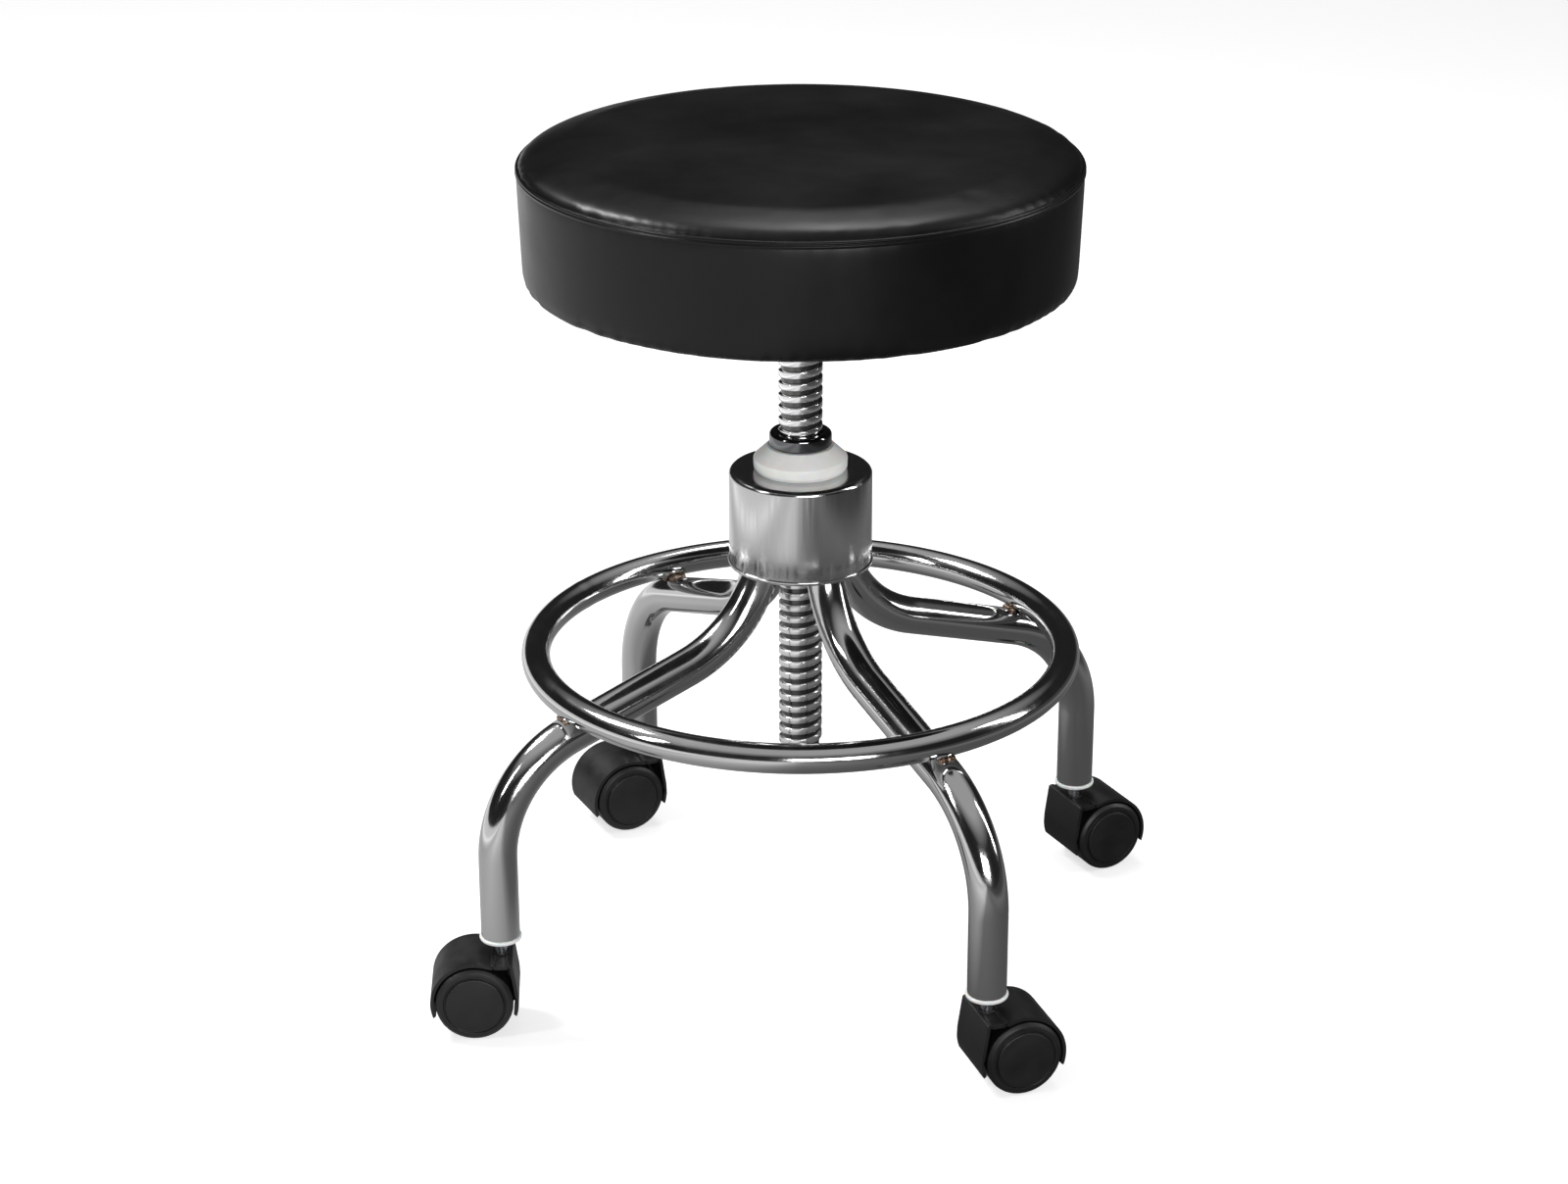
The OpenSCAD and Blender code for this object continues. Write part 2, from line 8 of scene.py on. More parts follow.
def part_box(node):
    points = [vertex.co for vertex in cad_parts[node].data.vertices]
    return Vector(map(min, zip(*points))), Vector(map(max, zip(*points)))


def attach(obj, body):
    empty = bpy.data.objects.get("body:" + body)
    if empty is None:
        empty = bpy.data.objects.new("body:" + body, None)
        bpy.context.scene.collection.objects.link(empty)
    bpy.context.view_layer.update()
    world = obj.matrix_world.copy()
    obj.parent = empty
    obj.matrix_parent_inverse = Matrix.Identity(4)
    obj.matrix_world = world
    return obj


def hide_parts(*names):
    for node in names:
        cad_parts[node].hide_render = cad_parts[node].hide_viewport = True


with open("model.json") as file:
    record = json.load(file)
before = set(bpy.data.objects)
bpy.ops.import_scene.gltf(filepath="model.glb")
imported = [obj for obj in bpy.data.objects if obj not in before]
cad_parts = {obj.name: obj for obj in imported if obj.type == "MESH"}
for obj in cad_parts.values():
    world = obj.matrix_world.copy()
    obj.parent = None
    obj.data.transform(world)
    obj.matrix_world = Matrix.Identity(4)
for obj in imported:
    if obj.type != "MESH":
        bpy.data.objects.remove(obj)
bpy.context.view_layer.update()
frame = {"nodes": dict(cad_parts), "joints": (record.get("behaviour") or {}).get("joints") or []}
nodes = frame["nodes"]
joints = {joint["name"]: joint for joint in frame["joints"]}
SIDES = ("front", "right", "back", "left")
MM = 0.001

# ---- Caster wheels ----
# Twin wheels of moulded black nylon, two on each axle with their open sides together. Each has a
# raised disc on its face, a groove round it, a plain tread, and ribs inside from boss to rim.

WHEEL_R = 25.0
WHEEL_FACE_R = 18.6
WHEEL_OPEN_Y = 6.0
WHEEL_FACE_Y = 25.0
WHEEL_RIM_T = 3.5
AXLE_R = 3.0
BOSS_R = 7.0
RIBS = 9


def start_fresh():
    """Object mode with nothing selected, so that the next operator acts on the next piece only."""
    if bpy.context.mode != "OBJECT":
        bpy.ops.object.mode_set(mode="OBJECT")
    bpy.ops.object.select_all(action="DESELECT")


def only(piece):
    start_fresh()
    piece.select_set(True)
    bpy.context.view_layer.objects.active = piece
    return piece


def rounded(outline, steps=5):
    """Points of an outline of (x, y, corner radius), with each corner that has a radius made an arc."""
    points = []
    for i, (x, y, radius) in enumerate(outline):
        corner = Vector((x, y))
        if radius == 0:
            points.append(corner)
            continue
        back = (Vector(outline[i - 1][:2]) - corner).normalized()
        ahead = (Vector(outline[(i + 1) % len(outline)][:2]) - corner).normalized()
        half = back.angle(ahead) / 2
        centre = corner + (back + ahead).normalized() * (radius / math.sin(half))
        first = corner + back * (radius / math.tan(half)) - centre
        last = corner + ahead * (radius / math.tan(half)) - centre
        turn = first.angle_signed(last)
        for k in range(steps + 1):
            a = -turn * k / steps
            spoke = (
                first.x * math.cos(a) - first.y * math.sin(a), first.x * math.sin(a) + first.y * math.cos(a)
            )
            points.append(centre + Vector(spoke))
    return points


def wire(name, points, closed=False):
    """A wire in the XZ plane through points in millimetres, drawn by extruding one vertex."""
    start_fresh()
    bpy.ops.mesh.primitive_plane_add(size=MM)
    piece = bpy.context.object
    piece.name = name
    bpy.ops.object.mode_set(mode="EDIT")
    bpy.ops.mesh.merge(type="CENTER")
    places = [Vector((x, 0, y)) * MM for x, y in points]
    bpy.ops.transform.translate(value=places[0])
    for here, there in zip(places, places[1:] + places[:1] * closed):
        bpy.ops.mesh.extrude_region_move(TRANSFORM_OT_translate={"value": there - here})
    bpy.ops.mesh.select_all(action="SELECT")
    bpy.ops.mesh.remove_doubles(threshold=1e-6)
    return piece


def close_mesh(piece, smooth_angle=35):
    """Merges doubles, turns the faces outwards and shades what is round smoothly."""
    only(piece)
    bpy.ops.object.mode_set(mode="EDIT")
    bpy.ops.mesh.select_all(action="SELECT")
    bpy.ops.mesh.remove_doubles(threshold=2e-6)
    bpy.ops.mesh.normals_make_consistent(inside=False)
    bpy.ops.object.mode_set(mode="OBJECT")
    bpy.ops.object.shade_smooth_by_angle(angle=math.radians(smooth_angle))
    return piece


def lathe(name, outline, steps=96):
    """A turned piece about Z: its closed outline of (radius, height, corner radius) spun once round."""
    piece = wire(name, rounded(outline), closed=outline[0][0] > 0 or outline[-1][0] > 0)
    bpy.ops.mesh.spin(steps=steps, angle=2 * math.pi, center=(0, 0, 0), axis=(0, 0, 1))
    return close_mesh(piece)


def pick_faces(piece, test):
    """Edit mode with just the faces selected whose centre, in millimetres, passes a test."""
    only(piece)
    bpy.ops.object.mode_set(mode="EDIT")
    bpy.ops.mesh.select_mode(type="FACE")
    bpy.ops.mesh.select_all(action="DESELECT")
    bpy.ops.object.mode_set(mode="OBJECT")
    for polygon in piece.data.polygons:
        polygon.select = test(polygon.center / MM)
    bpy.ops.object.mode_set(mode="EDIT")


def join(name, pieces):
    only(pieces[0])
    for piece in pieces:
        piece.select_set(True)
    bpy.ops.object.join()
    pieces[0].name = name
    return pieces[0]


def settle(piece):
    """Puts the piece's place into its mesh, so that its object sits at the origin, unturned."""
    only(piece)
    bpy.ops.object.transform_apply(location=True, rotation=True, scale=True)
    return piece


def copy_at(master, name, matrix):
    """A copy of a piece with a mesh of its own, moved to its place."""
    piece = master.copy()
    piece.data = master.data.copy()
    piece.name = name
    bpy.context.scene.collection.objects.link(piece)
    piece.data.transform(matrix)
    return piece


def modify(piece, kind, **settings):
    """Adds a modifier with its settings and applies it."""
    only(piece)
    modifier = piece.modifiers.new(kind.title(), kind)
    for key, value in settings.items():
        setattr(modifier, key, value)
    bpy.ops.object.modifier_apply(modifier=modifier.name)
    return piece


def colour(hex_value):
    """Linear colour of an sRGB hex value such as '#1a1a1a'."""
    parts = [int(hex_value[i : i + 2], 16) / 255 for i in (1, 3, 5)]
    return [c / 12.92 if c <= 0.04045 else ((c + 0.055) / 1.055) ** 2.4 for c in parts] + [1.0]


def add(owner, kind, links=None, values=None, stops=(), **settings):
    """Adds a node to a material or world, with its settings, its input values, its links
    {input: (node, output)} and, for a colour ramp, its stops (position, hex value) in order."""
    tree = owner.node_tree
    node = tree.nodes.new("ShaderNode" + kind)
    for key, value in settings.items():
        setattr(node, key, value)
    for key, value in (values or {}).items():
        node.inputs[key].default_value = value
    for key, (source, output) in (links or {}).items():
        tree.links.new(source.outputs[output], node.inputs[key])
    if stops:
        ramp = node.color_ramp.elements
        for end in (0, -1):
            ramp[end].position = stops[end][0]
            ramp[end].color = colour(stops[end][1])
        for position, tone in stops[1:-1]:
            ramp.new(position).color = colour(tone)
    return node


def new_material(name, base, **values):
    """A material with its Principled shader's values set, the shader, and object coordinates."""
    material = bpy.data.materials.new(name)
    material.use_nodes = True
    shader = material.node_tree.nodes["Principled BSDF"]
    shader.inputs["Base Color"].default_value = colour(base)
    for key, value in values.items():
        shader.inputs[key.replace("_", " ").title().replace("Ior", "IOR")].default_value = value
    return material, shader, add(material, "TexCoord")


def feed(material, shader, socket, source, output):
    material.node_tree.links.new(source.outputs[output], shader.inputs[socket])


def finish_with(piece, material):
    """Gives the whole piece one material."""
    piece.data.materials.clear()
    piece.data.materials.append(material)
    for polygon in piece.data.polygons:
        polygon.material_index = 0
    return piece


def hand_over(piece, material, body, node):
    """Finishes a piece, lets it ride on its body and shows it in place of its CAD node."""
    finish_with(piece, material)
    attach(piece, body)
    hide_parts(node)


def black_nylon():
    # Injection-moulded black nylon 6 with a fine spark-eroded texture: even, slightly satin, with a
    # faint flow mottling.
    material, shader, place = new_material("moulded_black_nylon", "#131313", roughness=0.46, ior=1.53)
    flow = add(
        material,
        "TexNoise",
        {"Vector": (place, "Object")},
        {"Scale": 60.0, "Detail": 3.0, "Roughness": 0.6},
    )
    tint = add(material, "ValToRGB", {"Fac": (flow, "Fac")}, stops=((0.3, "#0a0a0a"), (0.75, "#131313")))
    feed(material, shader, "Base Color", tint, "Color")
    rough = add(
        material,
        "MapRange",
        {"Value": (flow, "Fac")},
        {"From Min": 0.3, "From Max": 0.7, "To Min": 0.38, "To Max": 0.52},
    )
    feed(material, shader, "Roughness", rough, "Result")
    # the eroded grain is 0.05 mm; drawn at 0.5 mm so that it shows
    grain = add(material, "TexNoise", {"Vector": (place, "Object")}, {"Scale": 2000.0, "Detail": 2.0})
    bump = add(
        material,
        "Bump",
        {"Height": (grain, "Fac")},
        {"Strength": 0.25, "Distance": 0.00004},
    )
    feed(material, shader, "Normal", bump, "Normal")
    return material


def wheel_master():
    depth = WHEEL_FACE_Y
    cup = lathe(
        "wheel",
        [
            (AXLE_R + 0.05, WHEEL_OPEN_Y, 0.3),
            (BOSS_R, WHEEL_OPEN_Y, 0.5),
            (BOSS_R + 0.3, depth - 5, 1.2),
            (WHEEL_R - WHEEL_RIM_T, depth - 5, 1.5),
            (WHEEL_R - WHEEL_RIM_T + 0.5, WHEEL_OPEN_Y, 0.6),
            (WHEEL_R, WHEEL_OPEN_Y, 0.8),
            (WHEEL_R + 0.0, depth - 3.4, 1.6),
            (WHEEL_R - 2.2, depth - 1.6, 0.6),
            (WHEEL_FACE_R + 1.6, depth - 1.4, 0.3),
            (WHEEL_FACE_R + 1.3, depth - 2.1, 0.3),
            (WHEEL_FACE_R + 0.5, depth - 2.1, 0.3),
            (WHEEL_FACE_R, depth - 0.3, 0.6),
            (0, depth, 0),
            (0, depth - 6.5, 0),
            (AXLE_R + 0.05, depth - 6.5, 0),
        ],
    )
    ribs = []
    for k in range(RIBS):
        start_fresh()
        length = WHEEL_R - WHEEL_RIM_T - BOSS_R + 0.6
        height = depth - 5 - WHEEL_OPEN_Y - 3
        middle = Vector((BOSS_R + length / 2 - 0.2, 0, WHEEL_OPEN_Y + 3 + height / 2)) * MM
        middle.rotate(Matrix.Rotation(2 * math.pi * k / RIBS, 3, "Z"))
        bpy.ops.mesh.primitive_cube_add(size=1, location=middle, rotation=(0, 0, 2 * math.pi * k / RIBS))
        rib = bpy.context.object
        rib.scale = (length * MM, 1.4 * MM, height * MM)
        ribs.append(settle(rib))
    return join("wheel", [cup] + ribs)


def facing(axis):
    """Turns local Z to an axis."""
    return Vector(axis).to_track_quat("Z", "Y").to_matrix().to_4x4()


NYLON = black_nylon()
wheel = wheel_master()
for side in SIDES:
    for letter, sign in (("a", -1), ("b", 1)):
        joint = joints[f"roll_{side}_{letter}"]
        to_place = Matrix.Translation(joint["pos_m"]) @ facing(Vector(joint["axis"]) * sign)
        piece = copy_at(wheel, f"caster_wheel_{side}_{letter}", to_place)
        hand_over(piece, NYLON, body=f"wheel_{side}_{letter}", node=f"wheel_{side}_{letter}")
bpy.data.objects.remove(wheel)

# ---- Caster hoods ----
# Moulded black nylon, like the wheels: a curved skin over both wheels down to two slanted lips, with a
# web between the wheels and a boss with a squared corner, where the stem is pressed in.

HOOD_R = 28.5
HOOD_T = 2.2
HOOD_W = 43.0
TRAIL = (Vector(joints["roll_front_a"]["pos_m"]) - Vector(joints["swivel_front"]["pos_m"])).xy.length / MM
LIP_OUT_Z = 14.0
LIP_IN_Z = 18.0
HOOD_TOP_Z = WHEEL_R + HOOD_R - 1
WEB_W = 11.0
STEM_BOSS_R = 7.5
GROOVE_W = 7.5
GROOVE_DEPTH = 1.1


def arc(cx, cy, radius, start, end, steps):
    """Points on an arc between two angles in degrees."""
    angles = [math.radians(start + (end - start) * k / steps) for k in range(steps + 1)]
    return [Vector((cx + radius * math.cos(a), cy + radius * math.sin(a))) for a in angles]


def hood_master():
    # skin, drawn in the plane of the swing: the front lip, the round top, the squared corner, the back lip
    low = math.degrees(math.asin((LIP_IN_Z - 6 - WHEEL_R) / HOOD_R))
    top = math.degrees(math.acos((GROOVE_W / 2 + 3 - TRAIL) / HOOD_R))
    groove = [
        (GROOVE_W / 2 + 2.6, HOOD_TOP_Z, 0.6),
        (GROOVE_W / 2, HOOD_TOP_Z - 0.1, 0.5),
        (GROOVE_W / 2 - 0.5, HOOD_TOP_Z - GROOVE_DEPTH, 0.4),
        (-GROOVE_W / 2 + 0.5, HOOD_TOP_Z - GROOVE_DEPTH, 0.4),
        (-GROOVE_W / 2, HOOD_TOP_Z - 0.3, 0.5),
        (-STEM_BOSS_R, HOOD_TOP_Z - 0.3, 1.6),
        (TRAIL - HOOD_R + 0.3, WHEEL_R + 6, 4),
        (TRAIL - HOOD_R, WHEEL_R - 1, 0),
    ]
    around = arc(TRAIL, WHEEL_R, HOOD_R, low, top, 40)
    corner = rounded([(around[-1].x, around[-1].y, 0)] + groove, 4)[1:]
    down = arc(TRAIL, WHEEL_R, HOOD_R, 182, 180 - low, 8)
    skin = wire("skin", around + corner + down)
    bpy.ops.mesh.extrude_region_move(TRANSFORM_OT_translate={"value": (0, HOOD_W * MM, 0)})
    bpy.ops.mesh.select_all(action="SELECT")
    bpy.ops.transform.translate(value=(0, -HOOD_W / 2 * MM, 0))
    bpy.ops.mesh.normals_make_consistent(inside=False)
    bpy.ops.object.mode_set(mode="OBJECT")
    outward = sum((p.normal.z for p in skin.data.polygons if p.center.z > 0.045), 0.0)
    modify(skin, "SOLIDIFY", thickness=HOOD_T * MM, offset=-1 if outward > 0 else 1)
    slope = (LIP_IN_Z - LIP_OUT_Z) / (HOOD_T + 3)
    for way in (-1, 1):
        pick_faces(skin, lambda c: c.z < WHEEL_R and (c.x - TRAIL) * way > 0)
        at = Vector((TRAIL + way * HOOD_R, 0, LIP_OUT_Z)) * MM
        bpy.ops.mesh.bisect(plane_co=at, plane_no=(way * slope, 0, 1), use_fill=True, clear_inner=True)
        bpy.ops.mesh.select_mode(type="VERT")
    close_mesh(skin)
    modify(skin, "BEVEL", width=0.7 * MM, segments=3, limit_method="ANGLE", angle_limit=math.radians(50))
    close_mesh(skin)
    # web between the wheels, cut off under the axle
    start_fresh()
    bpy.ops.mesh.primitive_cylinder_add(
        vertices=64, radius=(HOOD_R - HOOD_T / 2) * MM, depth=WEB_W * MM,
        location=(TRAIL * MM, 0, WHEEL_R * MM), rotation=(math.pi / 2, 0, 0),
    )
    web = bpy.context.object
    bpy.ops.object.mode_set(mode="EDIT")
    bpy.ops.mesh.select_all(action="SELECT")
    bpy.ops.mesh.bisect(plane_co=(0, 0, LIP_IN_Z * MM), plane_no=(0, 0, 1), use_fill=True, clear_inner=True)
    bpy.ops.object.mode_set(mode="OBJECT")
    settle(web)
    modify(web, "BEVEL", width=0.6 * MM, segments=2, limit_method="ANGLE", angle_limit=math.radians(50))
    close_mesh(web)
    # boss round the stem and the block that fills the squared corner
    boss = lathe(
        "boss",
        [(0, WHEEL_R + 6, 0), (STEM_BOSS_R - 1.4, WHEEL_R + 6, 1), (STEM_BOSS_R, HOOD_TOP_Z - 2, 0.5),
         (STEM_BOSS_R - 2, HOOD_TOP_Z - GROOVE_DEPTH - 0.2, 0), (0, HOOD_TOP_Z - GROOVE_DEPTH - 0.2, 0)],
        steps=48,
    )
    collar = lathe(
        "collar",
        [(4.05, HOOD_TOP_Z - 4, 0), (6.2, HOOD_TOP_Z - 4, 0), (6.0, HOOD_TOP_Z + 0.2, 0.5),
         (4.05, HOOD_TOP_Z + 0.2, 0.3)],
        steps=48,
    )
    return join("hood", [skin, web, boss, collar])


def caster_place(side):
    """From the caster's own frame, at its foot with X towards the wheels, to the stool's."""
    foot = Vector(joints[f"swivel_{side}"]["pos_m"])
    wheels = Vector(joints[f"roll_{side}_a"]["pos_m"])
    along = (wheels - foot).xy.normalized()
    turn = math.atan2(along.y, along.x)
    return Matrix.Translation((foot.x, foot.y, 0)) @ Matrix.Rotation(turn, 4, "Z")


hood = hood_master()
for side in SIDES:
    piece = copy_at(hood, f"caster_hood_moulding_{side}", caster_place(side))
    hand_over(piece, NYLON, body=f"caster_{side}", node=f"caster_hood_{side}")
bpy.data.objects.remove(hood)

# ---- Caster stems, axles and the small hardware ----
# Steel, bright zinc plated: cold-headed stems with a grip band, plain axles, the hub's nut, the bolts
# and flanged nuts of the seat. They are the CAD pieces with their plating; the staples share it.


def zinc_plate():
    # Bright zinc plate: a clean white metal, less deep than chrome, with a soft cloudy crystal.
    material, shader, place = new_material("bright_zinc_plate", "#b4b7ba", metallic=1.0, roughness=0.27)
    cloud = add(material, "TexNoise", {"Vector": (place, "Object")}, {"Scale": 180.0, "Detail": 4.0})
    tint = add(material, "ValToRGB", {"Fac": (cloud, "Fac")}, stops=((0.35, "#a2a6ab"), (0.7, "#c3c5c6")))
    feed(material, shader, "Base Color", tint, "Color")
    rough = add(
        material,
        "MapRange",
        {"Value": (cloud, "Fac")},
        {"From Min": 0.3, "From Max": 0.7, "To Min": 0.2, "To Max": 0.36},
    )
    feed(material, shader, "Roughness", rough, "Result")
    return material


ZINC = zinc_plate()
hardware = ["screw_nut", "plate_bolts", "board_nuts"]
hardware += [f"caster_{part}_{side}" for part in ("stem", "axle") for side in SIDES]
for name in hardware:
    finish_with(nodes[name], ZINC)

# ---- Stem sockets ----
# Natural white nylon plugs driven into the leg ends to hold the caster stems. Only the thin rim under
# the tube's end shows; it is a little wider than the tube, with a rounded edge.

SOCKET_RIM_R = 13.75
SOCKET_RIM_T = 2.5
SOCKET_PLUG_R = 10.9
SOCKET_PLUG_L = 34.0
SOCKET_BORE_R = 5.55
SOCKET_BORE_L = 32.0


def white_nylon():
    # Natural nylon: milky white and a little translucent, moulded with a smooth dull surface.
    material, shader, place = new_material(
        "natural_white_nylon",
        "#f6f6f4",
        roughness=0.42,
        ior=1.53,
        subsurface_weight=0.25,
        subsurface_scale=0.004,
    )
    flow = add(material, "TexNoise", {"Vector": (place, "Object")}, {"Scale": 45.0, "Detail": 3.0})
    tint = add(material, "ValToRGB", {"Fac": (flow, "Fac")}, stops=((0.3, "#efefec"), (0.7, "#fafaf8")))
    feed(material, shader, "Base Color", tint, "Color")
    bump = add(material, "Bump", {"Height": (flow, "Fac")}, {"Strength": 0.2, "Distance": 0.0002})
    feed(material, shader, "Normal", bump, "Normal")
    return material


WHITE_NYLON = white_nylon()
socket_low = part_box("stem_socket_right")[0].z / MM
leg_end_z = socket_low + SOCKET_RIM_T
foot_r = (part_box("stem_socket_right")[0].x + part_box("stem_socket_right")[1].x) / 2 / MM
socket = lathe(
    "socket",
    [
        (SOCKET_BORE_R, socket_low, 0.4),
        (SOCKET_RIM_R - 0.4, socket_low, 1.0),
        (SOCKET_RIM_R, leg_end_z, 0.6),
        (SOCKET_PLUG_R, leg_end_z, 0),
        (SOCKET_PLUG_R, leg_end_z + SOCKET_PLUG_L, 0.8),
        (0, leg_end_z + SOCKET_PLUG_L, 0),
        (0, socket_low + SOCKET_BORE_L, 0),
        (SOCKET_BORE_R, socket_low + SOCKET_BORE_L, 0),
    ],
    steps=64,
)
LEG_TURN = {"front": -90, "right": 0, "back": 90, "left": 180}
for side in SIDES:
    foot = Vector(joints[f"swivel_{side}"]["pos_m"])
    piece = copy_at(socket, f"stem_socket_plug_{side}", Matrix.Translation((foot.x, foot.y, 0)))
    hand_over(piece, WHITE_NYLON, body="base", node=f"stem_socket_{side}")
bpy.data.objects.remove(socket)

# ---- Legs ----
# Round steel tube, 25 mm with a 1.5 mm wall, bent twice and cut square at the foot, then polished and
# chrome plated. Each leg leaves the hub downwards, runs out at a slope and turns down to its caster.

LEG_R = 12.5
LEG_WALL = 1.5
LEG_SLOPE = math.radians(17.5)
BEND_HUB_R = 84.0
BEND_FOOT_R = 78.0
BEND_RISE = 22.4
leg_top_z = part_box("leg_right")[1].z / MM
leg_top_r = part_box("leg_right")[0].x / MM + LEG_R / math.cos(math.asin(BEND_RISE / BEND_HUB_R))
run_dir = Vector((math.cos(LEG_SLOPE), 0, -math.sin(LEG_SLOPE)))
run_up = Vector((math.sin(LEG_SLOPE), 0, math.cos(LEG_SLOPE)))
hub_bend_x = leg_top_r + math.sqrt(BEND_HUB_R**2 - BEND_RISE**2)
knee_x = foot_r - BEND_FOOT_R + BEND_FOOT_R * run_up.x
run_l = (knee_x - hub_bend_x + BEND_HUB_R * run_up.x) / run_dir.x
hub_bend_z = leg_top_z + BEND_RISE
knee_z = hub_bend_z - BEND_HUB_R * run_up.z + run_l * run_dir.z
foot_bend_z = knee_z - BEND_FOOT_R * run_up.z


def chrome(name, roughness_low, roughness_high, tone="#c9c9c9"):
    # Decorative chrome over polished nickel: a cold, dark-toned mirror. Handling leaves faint smears
    # that dull it, and the polishing leaves a very slight ripple.
    material, shader, place = new_material(name, tone, metallic=1.0, roughness=roughness_low)
    smear = add(
        material,
        "TexNoise",
        {"Vector": (place, "Object")},
        {"Scale": 22.0, "Detail": 5.0, "Roughness": 0.65, "Distortion": 0.6},
    )
    rough = add(
        material,
        "MapRange",
        {"Value": (smear, "Fac")},
        {"From Min": 0.42, "From Max": 0.72, "To Min": roughness_low, "To Max": roughness_high},
    )
    feed(material, shader, "Roughness", rough, "Result")
    ripple = add(material, "TexNoise", {"Vector": (place, "Object")}, {"Scale": 70.0, "Detail": 1.0})
    bump = add(material, "Bump", {"Height": (ripple, "Fac")}, {"Strength": 0.12, "Distance": 0.00015})
    feed(material, shader, "Normal", bump, "Normal")
    return material


CHROME = chrome("bright_chrome_plate", 0.09, 0.19)


def leg_master():
    start_fresh()
    foot = Vector((foot_r, 0, leg_end_z)) * MM
    bpy.ops.mesh.primitive_circle_add(vertices=56, radius=LEG_R * MM, location=foot)
    tube = bpy.context.object
    sweep = math.pi / 2 - LEG_SLOPE
    bpy.ops.object.mode_set(mode="EDIT")
    bpy.ops.mesh.select_all(action="SELECT")
    upright = Vector((0, 0, foot_bend_z - leg_end_z)) * MM
    bpy.ops.mesh.extrude_region_move(TRANSFORM_OT_translate={"value": upright})
    centre = Vector((foot_r - BEND_FOOT_R, 0, foot_bend_z)) * MM
    bpy.ops.mesh.spin(steps=40, angle=sweep, center=centre, axis=(0, 1, 0))
    bpy.ops.mesh.extrude_region_move(TRANSFORM_OT_translate={"value": -run_dir * run_l * MM})
    centre = Vector((hub_bend_x, 0, hub_bend_z)) * MM
    bpy.ops.mesh.spin(steps=40, angle=-sweep, center=centre, axis=(0, 1, 0))
    bpy.ops.mesh.select_all(action="SELECT")
    top = Vector((0, 0, leg_top_z)) * MM
    bpy.ops.mesh.bisect(plane_co=top, plane_no=(0, 0, 1), clear_outer=True)
    settle(tube)
    close_mesh(tube)
    modify(tube, "SOLIDIFY", thickness=LEG_WALL * MM, offset=-1, use_even_offset=True)
    return close_mesh(tube)


leg = leg_master()
for side in SIDES:
    turn = Matrix.Rotation(math.radians(LEG_TURN[side]), 4, "Z")
    piece = copy_at(leg, f"leg_tube_{side}", turn)
    hand_over(piece, CHROME, body="base", node=f"leg_{side}")
bpy.data.objects.remove(leg)

# ---- Foot ring ----
# The same finish on a 19 mm tube rolled to a hoop and butt welded; the joint, at the back, is ground
# nearly flush. It rests on the four legs and is welded to them.

RING_TUBE_R = 9.5
ring_low, ring_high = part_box("foot_ring")
ring_z = (ring_low.z + ring_high.z) / 2 / MM
ring_r = (ring_high.x - ring_low.x) / 2 / MM - RING_TUBE_R
BUTT_ANGLE = math.radians(118)
BUTT_SWELL = 1.02


def foot_ring():
    start_fresh()
    bpy.ops.mesh.primitive_torus_add(
        major_segments=288, minor_segments=48, major_radius=ring_r * MM, minor_radius=RING_TUBE_R * MM,
        location=(0, 0, ring_z * MM), rotation=(0, 0, BUTT_ANGLE),
    )
    hoop = settle(bpy.context.object)
    middle = Vector((ring_r * math.cos(BUTT_ANGLE), ring_r * math.sin(BUTT_ANGLE), ring_z)) * MM
    for vertex in hoop.data.vertices:
        flat = Vector((vertex.co.x, vertex.co.y, 0)).normalized() * ring_r * MM + Vector((0, 0, ring_z * MM))
        if (flat - middle).length < 1.0 * MM:
            vertex.co = flat + (vertex.co - flat) * BUTT_SWELL
    return close_mesh(hoop)


piece = foot_ring()
piece.name = "foot_ring_hoop"
hand_over(piece, CHROME, body="base", node="foot_ring")

# ---- Weld beads ----
# MIG beads each side of the ring where it stands on a leg, and round each leg's top under the hub,
# plated over: rippled, duller than the tube, with a brown tint left by the heat.

WELD_GAP = 0.4
BEAD_R = 2.5
BEAD_REACH = 5.4
BEAD_DROPS = 6
BEAD_STEP = 1.9


def weld_bead():
    # Chrome over rough weld metal: a patchy brown heat tint, dull in its ripples.
    material, shader, place = new_material("plated_weld_bead", "#6b5a4c", metallic=1.0, roughness=0.38)
    heat = add(material, "TexNoise", {"Vector": (place, "Object")}, {"Scale": 260.0, "Detail": 3.0})
    tint = add(
        material,
        "ValToRGB",
        {"Fac": (heat, "Fac")},
        stops=((0.35, "#4a3a34"), (0.5, "#7d6554"), (0.68, "#b3a79c")),
    )
    feed(material, shader, "Base Color", tint, "Color")
    bump = add(material, "Bump", {"Height": (heat, "Fac")}, {"Strength": 0.5, "Distance": 0.0003})
    feed(material, shader, "Normal", bump, "Normal")
    return material


def drop(place, size, turn=None):
    """One solidified puddle of a bead: a flattened ball."""
    start_fresh()
    bpy.ops.mesh.primitive_ico_sphere_add(subdivisions=3, radius=MM, location=place)
    ball = bpy.context.object
    ball.scale = size
    if turn:
        ball.rotation_euler = turn
    return settle(ball)


def fused(name, balls, voxel=0.35):
    """Drops that run together: joined, remeshed as one skin and smoothed."""
    piece = join(name, balls)
    modify(piece, "REMESH", mode="VOXEL", voxel_size=voxel * MM)
    modify(piece, "SMOOTH", factor=0.5, iterations=3)
    return close_mesh(piece, 60)


